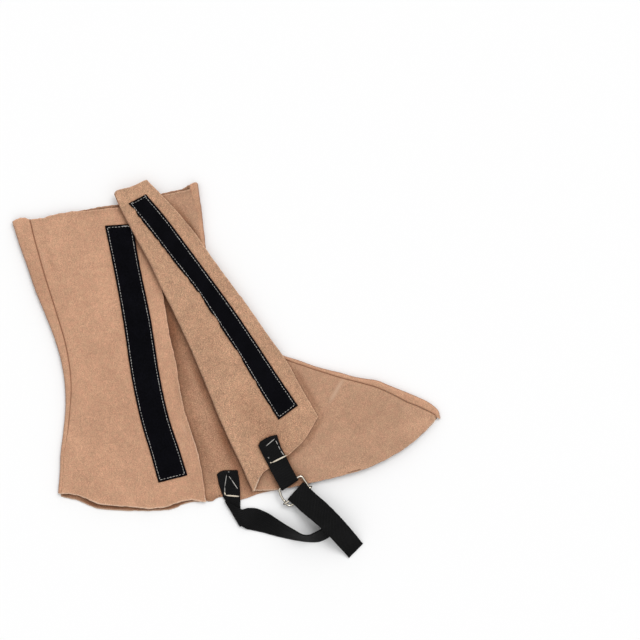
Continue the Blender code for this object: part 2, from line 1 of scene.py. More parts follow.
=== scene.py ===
"""Looks of the leather welding legging, laid flat on a pale surface and seen from straight above.

The leather panels repeat the solids' sections with a finer surface, a rounded cut edge and soft creases.
Tables are in millimetres, in the solids' frame before its origin moved to the middle (see ORIGIN).
"""

import math

import bpy
import numpy as np
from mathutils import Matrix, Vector
from mathutils.kdtree import KDTree

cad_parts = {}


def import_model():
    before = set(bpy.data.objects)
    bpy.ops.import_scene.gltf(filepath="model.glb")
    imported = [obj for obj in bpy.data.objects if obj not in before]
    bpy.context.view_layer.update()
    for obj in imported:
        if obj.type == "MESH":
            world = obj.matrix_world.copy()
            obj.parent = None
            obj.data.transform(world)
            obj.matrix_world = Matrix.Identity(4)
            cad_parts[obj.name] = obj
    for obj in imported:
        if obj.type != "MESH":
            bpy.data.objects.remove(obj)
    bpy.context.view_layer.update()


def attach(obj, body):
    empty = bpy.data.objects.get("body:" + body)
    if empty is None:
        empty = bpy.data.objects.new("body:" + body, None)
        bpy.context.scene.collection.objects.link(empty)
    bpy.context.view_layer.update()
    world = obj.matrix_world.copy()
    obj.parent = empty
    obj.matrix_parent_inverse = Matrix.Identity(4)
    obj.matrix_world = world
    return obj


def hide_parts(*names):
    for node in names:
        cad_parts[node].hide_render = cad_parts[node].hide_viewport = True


# Sizes that the solids share, mm
WALL = 1.6
SEAM_GAP = 0.3
WEB = 1.5
STRIP = 1.6
REST = 0.05
WIRE = 2.2
PLATING = 0.5
FLAP_REST = 0.5
FOLD_RISE = 2.6
FOLD_REACH = 26.0
ROLL_STRIP = 0.8
ORIGIN = np.array([0.26, -0.1, 0.0])

# The photograph's frame: its middle in the tables' frame, its width, and the camera's height
VIEW_MIDDLE = (109.0, 56.8)
VIEW_WIDTH = 742.4
VIEW_HEIGHT = 2600.0
SENSOR = 36

# Rows of the outer front panel: low x, y (fold to row 17, then hem); seam x, y; outermost edge x, y
FRONT = np.array([
    (-128.5, 201.5, -41, 207.5, -32, 210),
    (-121, 185, -37, 194.5, -30, 196),
    (-111.5, 166, -32.5, 180, -27.5, 181),
    (-100.5, 145.5, -30.5, 164.5, -26, 166),
    (-88, 122.5, -29, 148, -24, 149.5),
    (-75.5, 95.5, -27.5, 131.5, -22.5, 133.5),
    (-62.5, 70, -24, 112.5, -19, 114.5),
    (-50, 43.5, -16.5, 92, -12, 95),
    (-38.5, 18, -5, 71, -1, 74),
    (-27.5, -8, 11, 51, 14, 54),
    (-16, -36, 29, 33.5, 31.5, 36.5),
    (-4.5, -64.5, 48, 19.5, 50, 23),
    (10.5, -96.5, 67.5, 11.5, 68.5, 15),
    (20.5, -117.5, 84.5, 5.5, 86, 9.5),
    (24, -126, 102, 0, 103, 3.5),
    (26.5, -131.5, 118.5, -5.5, 119.5, -1),
    (29, -137, 133, -10, 134.5, -5),
    (31, -142, 147, -13.5, 148.5, -8.5),
    (44, -141, 160.5, -17, 162.5, -11),
    (62.5, -139, 174, -21, 176.5, -14),
    (84.5, -135, 187, -26.5, 190, -19),
    (109, -129.5, 199, -32.5, 203, -24.5),
    (135.5, -123, 210.5, -38.5, 214.5, -29),
    (163.5, -114.5, 221, -42.5, 225, -33.5),
    (189, -102.5, 229.5, -46.5, 234.5, -38.5),
    (212.5, -88, 236, -49.5, 242, -44),
    (229.5, -73, 240.5, -52, 246.5, -49),
    (241.5, -61, 243.5, -55, 248, -54.5),
])
FOLD_END = 17
# The flap's free edge x, y, row for row with the fold
FLAP = np.array([
    (-91.5, 219), (-78, 205.5), (-58, 184.5), (-36, 158), (-15.5, 128.5), (5, 100.5), (26.5, 71.5),
    (48.5, 39.5), (70, 10), (87.5, -21.5), (107, -55), (91.5, -81), (70, -101.5), (46.5, -117.5),
    (41, -123.5), (38.5, -128), (37.3, -131), (36.5, -133),
])
FLAP_CORNER = 10
TOP_REACH = 0.5
# Rows of the outer back panel: outermost edge x, y; seam x, y; free edge x, y
BACK = np.array([
    (-247.5, 171, -226.5, 173, -93, 192.5),
    (-242, 152, -222, 153.5, -89, 170.5),
    (-235, 132, -216.5, 133.5, -85, 147.5),
    (-228, 112.5, -211, 113.5, -80, 122.5),
    (-217.5, 82.5, -202, 84.5, -74, 95.5),
    (-206.5, 56.5, -193.5, 57.5, -69.5, 66.5),
    (-197, 30.5, -186, 31.5, -64.5, 37),
    (-190, 5, -181, 5, -58, 8.5),
    (-186.5, -21, -179, -21, -54, -17.5),
    (-186, -47.5, -180.5, -48, -48.5, -45),
    (-188.5, -74, -183.5, -75.5, -40, -72.5),
    (-191.5, -96.5, -187, -97.5, -32.5, -96.5),
    (-192.5, -120.5, -188.5, -121, -27, -123),
    (-194.5, -144.5, -190.5, -144.5, -23, -154.5),
])
# The back panel's hem below a straight line: share of its width, drop
BACK_HEM = np.array([
    (0, 0), (0.05, -0.7), (0.11, 0.5), (0.17, 3.7), (0.26, 9.3), (0.35, 10.3), (0.55, 10.8), (0.6, 11.5),
    (0.72, 8.5), (0.82, 1.2), (0.9, -2), (1, 0),
])
# The inner panel's hem from heel to toe
INNER_HEM = np.array([
    (-194.5, -145.5), (-188, -149), (-171.5, -152.5), (-152, -161), (-137, -163), (-123, -164),
    (-100, -164.5), (-79, -164), (-65, -163), (-55.5, -160), (-48.5, -156.5), (-39.5, -154.5),
    (-23, -153.5), (-15, -153), (-9.5, -149), (0, -148.5), (11.5, -152.5), (23, -150),
    (36, -145.5), (50, -142), (67.5, -139), (90.5, -133.5), (116, -128), (144, -120.5),
    (171.5, -111.5), (197, -98), (218, -83.5), (233, -70), (244, -58.5),
])
HEEL = 13
TOE = 27
# How far the top edges rise above a straight line: share of the width, rise
INNER_TOP = np.array([
    (0, 1.4), (0.05, 0.5), (0.11, -2.4), (0.17, -3.2), (0.26, -1.6), (0.5, -1), (0.57, -2), (0.7, -0.4),
    (0.86, 2.1), (0.93, 2.4), (0.95, 3.6), (0.97, 6), (1, 6.6),
])
BACK_ROLL_TOP = np.array([
    (0, -0.6), (0.1, 0.6), (0.3, 2.1), (0.55, 3), (0.8, 2.6), (0.92, 1), (1, -0.9),
])
SHIN_ROLL_TOP = np.array([(0, 4.4), (0.2, 6.2), (0.5, 7), (0.85, 6.4), (1, 5.2)])
BACK_TOP = np.array([
    (0, -1), (0.02, 0), (0.12, -0.8), (0.17, 1.2), (0.25, 1.9), (0.4, 1.9), (0.49, 0.4), (0.65, -0.2),
    (0.8, -1.4), (1, -1.4),
])
FRONT_TOP = np.array([(0, 0), (0.2, -2.6), (0.6, -4.6), (0.75, -3.2), (0.86, -1.8), (0.94, -1), (1, 0.5)])
FLAP_TOP = np.array([(0, 2.4), (0.05, 2.8), (0.12, 2.7), (0.27, 1.6), (0.42, 0.3), (0.76, -0.3), (1, 0)])
# How far the straps' sewn ends rise in the same way
LONG_END = np.array([(0, 0), (0.2, 2.7), (0.39, 2.9), (0.69, 1.5), (1, 0)])
SHORT_END = np.array([(0, -0.8), (0.14, 2.2), (0.4, 3), (0.72, 2.5), (1, 0.3)])
# How far the roll's open end hangs over the toe, and from how many rows before it
TOE_HANG = 3.4
TOE_REACH = 0.8
# How far the stitches pull the hook strip's left edge in, and how far they lie inside both strips' edges
HOOK_PULL = 1.5
BORDER_INSET = 2.6
# The two strips: left edge x, y; right edge x, y
LOOP = np.array([
    (-140, 166, -108, 168), (-129.5, 115, -99, 117), (-119, 57, -87, 59),
    (-109, -9.5, -76.5, -7), (-98.5, -59, -66, -55), (-87.5, -96.5, -54.5, -90.5),
    (-78, -131.5, -44.5, -123),
])
HOOK = np.array([
    (-112, 191, -92, 202), (-88, 161, -69, 175), (-61, 126, -42, 139),
    (-33.5, 90.5, -15.5, 103), (-10, 55, 9.5, 68.5), (15.5, 16, 35.5, 30),
    (37.5, -21, 58, -4.5), (61, -58.5, 83.5, -42),
])
# Heights of the outer front panel's underside: along the fold, at the fold, away from it
FOLD_TOP = np.array([-128.5, 201.5])
FOLD_FOOT = np.array([31, -142])
FRONT_HEIGHTS = np.array([
    (0, 8.4, 7.4), (0.1, 8.4, 7.4), (0.2, 8, 7.3), (0.3, 7.2, 7.2), (0.4, 5.6, 7), (0.5, 3.8, 6.9),
    (0.6, 2.8, 6.8), (0.8, 2.3, 6.8), (1.1, 2.1, 6.8),
])
FRONT_EASE = 35
# Soft dips of that panel: x, y, depth, reach
DIPS = ((70, 13, 2.6, 45), (248, -54, 3.2, 40), (80, -132, 2.6, 30))
# Heights of the outer back panel's underside: y, at its seam, at its free edge
BACK_HEIGHTS = np.array([
    (-154, 4, 2.2), (-137, 4.1, 2.4), (-117, 4.3, 3.2), (-90, 4.6, 4.2), (-64, 4.9, 5),
    (-20, 5.3, 5.2), (29, 5.7, 4.4), (63, 6, 3.6), (96, 6.3, 3.2), (192, 6.8, 3.4),
])
# The straps' two edges: left x, y, z, right x, y, z
LONG_SEWN = np.array([
    (-10.6, -122, 2.5, 13.6, -117.2, 2.5), (-7.6, -135.5, 2.5, 16, -133.5, 2.5),
    (-3.6, -147, 2.6, 16.7, -151, 2.7), (-2.6, -150, 2.65, 16.8, -160, 1.8),
])
LONG_FOLD = (-1.5, -153, 16, -183)
LONG_FOLD_HEIGHTS = (2.65, 0.85, 5.4, 3.6)
LONG_LOOP = np.array([
    (17, -162, 4.2, 24, -185.5, 2.4), (25.5, -161, 2.4, 28.5, -186.5, 1.4),
    (35, -161.5, 1.2, 35, -188, 0.85), (43.5, -164.5, 3.5, 40, -189, 0.85),
    (51.5, -168, 8, 44.5, -190, 0.85), (61, -174, 13, 53.5, -192.5, 0.8),
    (70, -179.5, 17, 64, -195, 0.7), (79.5, -185, 20, 75.5, -197.5, 0.5),
    (88.5, -190, 21, 87.5, -199.5, 0.5), (96.5, -190.5, 21, 97.5, -200.5, 0.5),
    (104.5, -187, 20, 108.5, -200, 0.5), (111, -183.5, 19, 119, -195, 0.6),
    (113.5, -178.5, 18.5, 125.5, -187.5, 0.7), (113.5, -174, 17.5, 127.5, -176.5, 0.8),
    (109.5, -170, 16, 124, -165.5, 0.85), (101.5, -167, 12, 116.5, -156, 0.85),
    (92, -163, 6.5, 108, -149.5, 0.85), (84.5, -158.5, 3, 100.5, -142.5, 1.6),
    (78.5, -154.5, 4.4, 95.2, -138, 5.4),
])
LONG_TURN = (71.3, -150.4, 89.3, -130.2)
LONG_TAIL = np.array([
    (79.5, -157, 12.2, 97.5, -137.5, 13.2), (87, -164, 13.6, 104.5, -144, 14.4),
    (98.5, -173, 19.3, 116, -153.5, 19.3), (110, -182.5, 22.6, 127.5, -164.5, 22.3),
    (120.5, -193, 21, 138, -176, 21), (129.5, -203.5, 13.5, 147.5, -187.5, 13.5),
    (136.5, -211.5, 6, 153.5, -195.5, 6), (142.5, -219, 1.6, 159, -202.5, 1.6),
])
SHORT = np.array([
    (37.5, -87.5, 59.5, -76), (42, -97.5, 64, -90), (49.5, -111.5, 71, -103),
    (54, -121, 75, -111.5),
])
SHORT_TURN = (65.3, -140.7, 84.4, -128.1)
SHORT_RADIUS = 2.4
FRAME_CORNERS = np.array([
    (60.9, -139.2, 10.8), (87.4, -122.4, 10.8), (99.8, -142.4, 6.8), (72.3, -159.8, 6.8),
])
FRAME_RADII = (3, 4, 6, 6)
FRAME_BOW = 0.9
BAR_SHARE = 0.75
BAR_RADIUS = 2.2
BAR_HOOK = math.radians(130)

# Light: the sky's strength at the horizon, its rise towards right, top of the picture and zenith, and the sun
SKY_LIGHT = 0.34
SKY_TILT = (0.03, 0.2, 0.68)
SUN_LIGHT = 1.15
SUN_WAY = (-0.35, -0.5, -1.0)

# Base colours: outside of the inner and back panels, outside of the front panel, nap sides (the inner panel's
# nap darker, partly as painted shade) and cut edges, then the two strips, the webbing, the plated wire and
# its painted side shade, the threads and the floor
OUTSIDE = (0.528, 0.301, 0.191)
FRONT_OUTSIDE = (0.46, 0.271, 0.174)
NAP = (0.492, 0.289, 0.181)
INNER_NAP_WITH_PAINTED_SHADE = (0.43, 0.24, 0.148)
CUT_EDGE = (0.6, 0.4, 0.27)
LOOP_BLACK = (0.0016, 0.0016, 0.0026)
HOOK_BLACK = (0.0018, 0.0018, 0.0027)
WEB_BLACK = (0.0032, 0.0032, 0.0034)
NICKEL = (0.52, 0.46, 0.37)
PAINTED_WIRE_SHADE = (0.06, 0.05, 0.04)
BORDER_THREAD = (0.43, 0.41, 0.385)
HEAVY_THREAD = (0.72, 0.63, 0.5)
SEAM_THREAD = (0.3, 0.19, 0.12)
FLOOR = (0.9, 0.9, 0.9)
# What the leather's colour is multiplied by: in sewn grooves as painted shade, at light rims, where it is
# rubbed, in lighter tones and warm painted shade, on upright sides as painted shade, and in narrow gaps as
# painted shade, which reach this far (m)
PAINTED_GROOVE_SHADE = (0.66, 0.53, 0.45)
LIGHT_RIM = (1.5, 1.95, 2.3)
SCUFFED = (1.25, 1.4, 1.5)
LIGHT_TONE = (1.3, 1.3, 1.3)
WARM_SHADE = (0.46, 0.33, 0.25)
LEAST_TONE = -0.6
SIDE_SHADE = (0.66, 0.54, 0.46)
CONTACT_PAINTED_SHADE = (0.5, 0.38, 0.29)
CONTACT_REACH = 0.01

# Fineness of the surfaces
STEPS = 8
TURN = 14
INNER_COLUMNS = 84
FRONT_COLUMNS = 56
FLAP_COLUMNS = 48
BACK_COLUMNS = 60
STRIP_COLUMNS = 8
STRIP_STEPS = 16
WEB_STEPS = 8
WEB_TURN = 10
THREAD_SIDES = 8
HEM_POINTS = 400
BORDER_POINTS = 120
WEB_SHARES = np.array([
    0, 0.012, 0.035, 0.07, 0.14, 0.22, 0.3, 0.4, 0.5, 0.6, 0.7, 0.86, 0.93, 0.965, 0.988, 1,
])
NEAR_ROWS = np.array([0.012, 0.035, 0.07, 0.11])
NEAR_EDGE = np.array([0.2, 0.55, 1.0, 1.8])
EDGE_ROUND = 0.9
EDGE_LEAST = 0.3
SEAM_DEPTH = 0.65
SEAM_HALF = 2.4
SEAM_LEAST_HEIGHT = 2.2
FAR = 1e9


def spline(points, at, corners=()):
    """The soft curve through a table's points at these row numbers, with a sharp turn at each corner row."""
    at = np.asarray(at, float)
    out = np.zeros((len(at), points.shape[1]))
    marks = [0, *corners, len(points) - 1]
    for start, end in zip(marks[:-1], marks[1:]):
        part = points[start : end + 1]
        slope = np.gradient(part, axis=0)
        inside = (at >= start) & (at <= end)
        i = np.clip(np.floor(at[inside] - start).astype(int), 0, end - start - 1)
        t = (at[inside] - start - i)[:, None]
        out[inside] = (
            (2 * t**3 - 3 * t**2 + 1) * part[i]
            + (t**3 - 2 * t**2 + t) * slope[i]
            + (3 * t**2 - 2 * t**3) * part[i + 1]
            + (t**3 - t**2) * slope[i + 1]
        )
    return out


def stations(last, also=()):
    """Row numbers from 0 to last, closer together at both ends and beside the rows in also."""
    rows = [np.arange(last * STEPS + 1) / STEPS, NEAR_ROWS]
    rows += [row - NEAR_ROWS for row in (last, *also)]
    return np.unique(np.concatenate(rows).round(4))


def lengths(points):
    """Distance of each point, or row of points, from the first along the line."""
    steps = np.linalg.norm(np.diff(points, axis=0), axis=-1).reshape(len(points) - 1, -1).mean(axis=1)
    return np.concatenate([[0], np.cumsum(steps)])


def resampled(grid, rows, wanted):
    """The grid's rows moved from their row numbers, or distances, to other ones."""
    flat = grid.reshape(len(grid), -1)
    out = np.stack([np.interp(wanted, rows, flat[:, k]) for k in range(flat.shape[1])], axis=1)
    return out.reshape(len(wanted), *grid.shape[1:])


def read(table, at, column=1):
    """A table's column at these values of its first one."""
    return np.interp(at, table[:, 0], table[:, column])


def unit(vectors):
    return vectors / np.linalg.norm(vectors, axis=-1, keepdims=True)


def ease(t):
    t = np.clip(t, 0, 1)
    return t * t * (3 - 2 * t)


FOLD_LENGTH = np.linalg.norm(FOLD_FOOT - FOLD_TOP)
FOLD_AXIS = (FOLD_FOOT - FOLD_TOP) / FOLD_LENGTH
FOLD_NORMAL = np.array([-FOLD_AXIS[1], FOLD_AXIS[0]])


def front_base(plan):
    offset = plan - FOLD_TOP
    along = offset @ FOLD_AXIS / FOLD_LENGTH
    away = offset @ FOLD_NORMAL
    at_fold = read(FRONT_HEIGHTS, along)
    lift = at_fold + (read(FRONT_HEIGHTS, along, 2) - at_fold) * ease(away / FRONT_EASE)
    for x, y, depth, reach in DIPS:
        distance = np.hypot(plan[..., 0] - x, plan[..., 1] - y)
        lift = lift - depth * np.exp(-((distance / reach) ** 2))
    return lift + 0.45 * wave(plan, 70, 3)


def front_lift(plan):
    return front_base(plan) + creases(plan, FRONT_CREASES) + 0.14 * wave(plan, 17, 4)


def flap_lift(plan):
    away = (plan - FOLD_TOP) @ FOLD_NORMAL
    rise = FOLD_RISE * np.exp(-((away / FOLD_REACH) ** 2))
    relief = creases(plan, FLAP_CREASES) + 0.3 * wave(plan, 38, 5) + 0.12 * wave(plan, 14, 6)
    return front_base(plan) + WALL + FLAP_REST + 0.3 + rise + np.maximum(relief, -0.4)


def back_lift(plan):
    rows = BACK[::-1]
    seam = np.interp(plan[..., 1], rows[:, 3], rows[:, 2])
    free = np.interp(plan[..., 1], rows[:, 5], rows[:, 4])
    at_seam = read(BACK_HEIGHTS, plan[..., 1])
    at_free = read(BACK_HEIGHTS, plan[..., 1], 2)
    share = (plan[..., 0] - seam) / (free - seam)
    relief = creases(plan, BACK_CREASES) + 0.45 * wave(plan, 60, 7) + 0.14 * wave(plan, 16, 8)
    return at_seam + (at_free - at_seam) * ease(share) + relief


def wave(plan, length, seed):
    """A soft uneven relief between -1 and 1, its humps about this long."""
    rng = np.random.default_rng(seed)
    total = np.zeros(plan.shape[:-1])
    for _ in range(7):
        angle, phase, scale = rng.uniform(0, math.pi), rng.uniform(0, 2 * math.pi), rng.uniform(0.7, 1.4)
        way = np.array([math.cos(angle), math.sin(angle)]) * 2 * math.pi / length / scale
        total += np.sin(plan @ way + phase)
    return total / 4.5


# Soft creases: from x, y to x, y, half width, height (a trough is negative)
FRONT_CREASES = (
    (134, -14, 121, -38, 2.2, 0.6), (60, 4, 84, -70, 9, -0.9), (96, -12, 130, -96, 12, 0.7),
    (150, -30, 205, -92, 10, -0.6), (196, -42, 216, -80, 7, 0.6), (52, -138, 120, -108, 9, -0.7),
    (-20, 120, 10, 60, 8, -0.7), (-52, 196, -34, 140, 6, -0.8), (-60, 190, -46, 150, 5, 0.6),
    (-80, 150, -30, 60, 10, 0.7), (-40, 60, 0, -20, 9, -0.6), (10, -30, 40, -100, 9, 0.7),
)
FLAP_CREASES = (
    (27, -94, 38, -81, 2.6, 1.7), (33, -93, 44, -104, 5, -0.5), (24, -62, 33, -128, 6, 0.7),
    (-96, 160, -52, 70, 7, -0.6), (-30, 30, 6, -62, 8, 0.7), (-70, 110, -34, 40, 8, 0.6),
    (82, -62, 98, -48, 6, 0.8), (56, -70, 88, -84, 7, -0.5), (40, -116, 36, -128, 4, 1.3),
    (6, -60, 30, -112, 9, -0.5), (-10, 128, 30, 60, 6, 0.5),
)
BACK_CREASES = (
    (-216, 166, -198, 104, 3.4, -1.3), (-204, 150, -186, 92, 4.5, 0.9), (-214, 138, -192, 116, 2.2, 0.8),
    (-210, 128, -186, 108, 2, -0.6), (-198, 60, -172, -10, 7, 0.7), (-184, 20, -150, 16, 7, -0.6),
    (-176, -8, -140, -22, 8, 0.6), (-178, -60, -150, -110, 9, -0.7), (-168, -90, -140, -150, 8, 0.9),
    (-120, -110, -108, -160, 9, -0.9), (-84, 100, -66, 10, 4, 0.7), (-70, 30, -56, -60, 5, -0.6),
    (-46, -70, -32, -140, 4, 0.8), (-70, -130, -60, -164, 8, 1.2), (-160, 150, -140, 60, 12, 0.6),
    (-100, 186, -92, 120, 6, -0.8),
)
# Marks in the leather's colour, in the same form: pale rubbed ones, lighter and darker parts, some of the
# darker ones painted shade beside edges, light fibres at the cut edges, and where a seam hardly shows
SCUFFS = (
    (136, -11, 120, -39, 2, 1), (-66, -66, -40, -104, 2, 0.12), (200, -40, 214, -52, 4, 0.15),
    (-214, 140, -206, 112, 3, 0.15), (98, -100, 110, -104, 2, 0.2), (-52, -62, -44, -78, 1, 0.4),
)
TONES_AND_PAINTED_SHADE = (
    (10, -20, 70, -96, 22, -0.16), (60, -20, 170, -60, 40, -0.06), (205, -62, 236, -56, 24, 0.08),
    (-40, 70, -10, 20, 12, -0.05), (-232, 150, -206, 60, 9, -0.05), (-52, 196, -40, 160, 6, -0.04),
    (-34, 200, -22, 150, 4, -0.06), (44, -118, 62, -136, 7, -0.2), (-120, 120, -150, 60, 26, 0.03),
    (-150, -60, -120, -130, 30, 0.03),
)
# Painted shade on the inner panel alone: beside the back panel's free edge and the fold, and under the back
# panel's hem
INNER_PAINTED_SHADE = (
    (-78, 118, -60, 20, 7, -0.3), (-66, 60, -44, -30, 7, -0.3), (-50, -20, -18, -120, 5, -0.2),
    (-38, 4, 5, -96, 4.4, -0.3), (-9, -66, 30, -150, 4.4, -0.36), (-73, 84, -21, -34, 4.4, -0.25),
    (-12, -60, 14, -140, 9, -0.1), (-200, -146, -150, -161, 7, -0.4), (-166, -156, -84, -166, 5, -0.45),
    (-100, -166, -44, -157, 6, -0.4), (-60, -158, -8, -152, 6, -0.3),
)
# Painted shade on the front panel alone, beside the edge of its turned-back flap
FRONT_PAINTED_SHADE = (
    (-64, 196, -26, 146, 3.4, -0.35), (76, 8, 112, -56, 3.4, -0.28), (111, -56, 94, -85, 3.4, -0.28),
    (98, -81, 50, -121, 3.4, -0.3),
)
RIMS = (
    (-200, -143, -166, -153, 6, 1.6), (-178, -147, -130, -163, 6, 1.6), (-150, -161, -84, -164, 6, 1.6),
    (-100, -164, -54, -156, 6, 1.6), (-66, -158, -18, -152, 7, 1.6), (29, -145, 36, -129, 3, 1.4),
    (33, -134, 47, -122, 3, 1.4), (26, -142, 62, -139, 4, 1), (-96, 60, -40, -60, 8, 0.35),
    (230, -76, 250, -52, 4, 0.7), (-40, -64, -24, -120, 6, 0.5),
)
FAINT_SEAM = (
    (-44, 232, -26, 118, 14, 1.4), (-190, 10, -183, -60, 8, 0.3), (-188, -60, -192, -160, 8, 0.7),
)
# Creases of the inner panel, lifted a little off the floor, from below as from above
INNER_CREASES = (
    (-200, 120, -150, 20, 9, 0.9), (-120, 160, -60, 60, 11, 0.8), (-60, -20, -20, -110, 8, 1),
    (-150, -60, -110, -140, 10, 0.9), (20, 20, 110, -70, 12, 1), (60, -20, 80, -110, 9, 0.8),
    (140, -40, 200, -80, 9, 0.8), (-34, -60, -16, -120, 5, 0.9), (-90, 100, -40, 10, 10, 0.7),
)


def creases(plan, table):
    """Height of these soft ridges and troughs at the plan points; each fades out at its ends."""
    total = np.zeros(plan.shape[:-1])
    for x0, y0, x1, y1, half, height in table:
        start = np.array([x0, y0])
        run = np.array([x1, y1]) - start
        length = np.linalg.norm(run)
        run = run / length
        offset = plan - start
        along = offset @ run / length
        aside = offset @ np.array([-run[1], run[0]])
        total += height * np.exp(-((aside / half) ** 2)) * np.exp(-((along - 0.5) * 2.2) ** 4)
    return total


def lifted(plan, height):
    return np.concatenate([plan, np.broadcast_to(height, plan.shape[:-1])[..., None]], axis=-1)


def between(start, end, count, near_start=False, near_end=False):
    """Rows of plan points from start to end, closer together beside a cut edge, and their shares."""
    width = np.maximum(np.linalg.norm(end - start, axis=1), 12.0)
    share = [np.broadcast_to(np.linspace(0, 1, count + 1), (len(start), count + 1))]
    if near_start:
        share.append(NEAR_EDGE / width[:, None])
    if near_end:
        share.append(1 - NEAR_EDGE / width[:, None])
    share = np.sort(np.concatenate(share, axis=1), axis=1)
    return start[:, None] * (1 - share[..., None]) + end[:, None] * share[..., None], share


def half_turn(foot, outward, low, high, steps=TURN):
    """Rows of points that turn outward from the foot at the low height, and back over it at the high one."""
    radius = (high - low) / 2
    rows = []
    for angle in np.linspace(-math.pi / 2, math.pi / 2, steps + 1):
        plan = foot + outward * (radius * math.cos(angle))[:, None]
        rows.append(lifted(plan, (low + high) / 2 + radius * math.sin(angle)))
    return rows


def roll(edge, seam, lift):
    """The inner panel's roll on one side: its foot, its turn and strip, and the outer panel's seam."""
    height = lift(seam) + WALL
    inward = seam - edge
    width = np.linalg.norm(inward, axis=1)
    gap = SEAM_GAP * np.clip(0.5 - creases(seam, FAINT_SEAM), 0.05, 1)
    inward = inward / width[:, None]
    width = np.maximum(width, height / 2 + ROLL_STRIP)
    foot = edge + inward * (height / 2)[:, None]
    swell = 1 + 0.1 * wave(edge, 34, 21) + 0.05 * wave(edge, 11, 22)
    rows = half_turn(foot, -inward * swell[:, None], np.full(len(edge), WALL / 2), height - WALL / 2)
    end = edge + inward * (width - gap / 2)[:, None]
    for share in (0.4, 0.7, 0.9):
        rows.append(lifted(foot * (1 - share) + end * share, height - WALL / 2))
    rows.append(lifted(end, height - WALL / 2))
    return foot, np.stack(rows, axis=1), edge + inward * (width + gap / 2)[:, None]


FRONT_ROWS = stations(TOE, also=(FOLD_END,))
BACK_ROWS = stations(HEEL)


def raise_top(grid, rows, share, table):
    """Moves the top of the grid up along the panel by the table's rise at these shares of its width."""
    up = unit(grid[0, :, :2] - grid[np.searchsorted(rows, TOP_REACH), :, :2])
    fade = np.clip(1 - rows / TOP_REACH, 0, 1)
    grid[..., :2] += fade[:, None, None] * (up * read(table, share)[:, None])[None]


def rolled(rows, edge, seam, lift, table):
    foot, turn, beyond = roll(edge, seam, lift)
    inward = seam[0] - edge[0]
    share = (turn[0, :, :2] - edge[0]) @ inward / (inward @ inward)
    if rows[0] == 0:
        raise_top(turn, rows, share, table)
    return foot, turn, beyond


def front_roll():
    at = spline(FRONT, FRONT_ROWS)
    foot, turn, beyond = rolled(FRONT_ROWS, at[:, 4:6], at[:, 2:4], front_lift, SHIN_ROLL_TOP)
    down = unit(at[-1, 4:6] - at[-6, 4:6])
    near_end = np.clip(1 - (TOE - FRONT_ROWS) / TOE_REACH, 0, 1) ** 2
    across = np.sin(np.linspace(0, 1, turn.shape[1]) * math.pi) ** 0.7
    turn[..., :2] += TOE_HANG * (near_end[:, None] * across)[..., None] * down
    return foot, turn, beyond


def back_roll():
    at = spline(BACK, BACK_ROWS)
    return rolled(BACK_ROWS, at[:, 0:2], at[:, 2:4], back_lift, BACK_ROLL_TOP)


def inner_grids():
    rows = np.union1d(BACK_ROWS, FRONT_ROWS)
    shin_foot, shin_rows, _ = front_roll()
    shin_rows = resampled(shin_rows, FRONT_ROWS, rows)
    back_foot, back_rows, _ = back_roll()
    heel_rows = rows[rows <= HEEL]
    back_rows = resampled(back_rows, BACK_ROWS, heel_rows)
    foot_rows = rows[rows > HEEL]
    fine = spline(INNER_HEM, np.linspace(0, len(INNER_HEM) - 1, HEM_POINTS))
    along = lengths(fine)
    hem = resampled(fine, along, (foot_rows - HEEL) / (TOE - HEEL) * along[-1])
    shin_foot = resampled(shin_foot, FRONT_ROWS, rows)
    left = np.concatenate([resampled(back_foot, BACK_ROWS, heel_rows), hem])
    flat, share = between(left, shin_foot, INNER_COLUMNS, near_start=True)
    raise_top(flat, rows, share[0], INNER_TOP)
    flat[:, -1] = shin_rows[:, 0, :2]
    flat[: len(heel_rows), 0] = back_rows[:, 0, :2]
    flat = lifted(flat, WALL / 2 + inner_relief(flat, share, len(heel_rows)))
    return [flat, shin_rows, back_rows[:, ::-1]]


def inner_relief(flat, share, heel):
    """Soft waves of the inner panel, none of them beside its rolls."""
    beside = np.minimum(ease(share * 8), 1)
    beside[heel:] = 1
    beside = beside * ease((1 - share) * 8)
    return beside * np.maximum(creases(flat, INNER_CREASES) + 0.15 * (wave(flat, 30, 9) + 0.6), 0)


def front_grids():
    rows = FRONT_ROWS
    low = spline(FRONT[:, :2], rows, (FOLD_END,))
    reach = WALL / 2 + (WALL + FLAP_REST + FOLD_RISE) / 2
    start = low + FOLD_NORMAL * (reach * np.clip(1 + FOLD_END - rows, 0, 1))[:, None]
    base, share = between(start, front_roll()[2], FRONT_COLUMNS, True, True)
    raise_top(base, rows, share[0], FRONT_TOP)
    base = lifted(base, front_lift(base) + WALL / 2)
    flap_rows = rows[rows <= FOLD_END]
    start = base[: len(flap_rows), 0, :2]
    fold = np.array(half_turn(start, -FOLD_NORMAL, base[: len(flap_rows), 0, 2], flap_lift(start) + WALL / 2))
    fade = np.clip(1 - flap_rows / TOP_REACH, 0, 1)
    upper = np.maximum(np.sin(np.linspace(-math.pi / 2, math.pi / 2, TURN + 1)), 0)
    fold[..., :2] -= FOLD_AXIS * (upper[:, None] * fade * FLAP_TOP[0, 1])[..., None]
    free = spline(FLAP, flap_rows, (FLAP_CORNER,))
    flap, share = between(start, free, FLAP_COLUMNS, False, True)
    raise_top(flap, flap_rows, share[0], FLAP_TOP)
    flap[:, 0] = fold[-1][:, :2]
    flap = lifted(flap, flap_lift(flap) + WALL / 2)
    return [base, np.stack(fold, axis=1)[:, ::-1], flap[:, ::-1]]


def back_grids():
    at = spline(BACK, BACK_ROWS)
    panel, share = between(back_roll()[2], at[:, 4:6], BACK_COLUMNS, True, True)
    panel[..., 1] -= ((BACK_ROWS / HEEL) ** 3)[:, None] * read(BACK_HEM, share)
    raise_top(panel, BACK_ROWS, share[0], BACK_TOP)
    return [lifted(panel, back_lift(panel) + WALL / 2)]


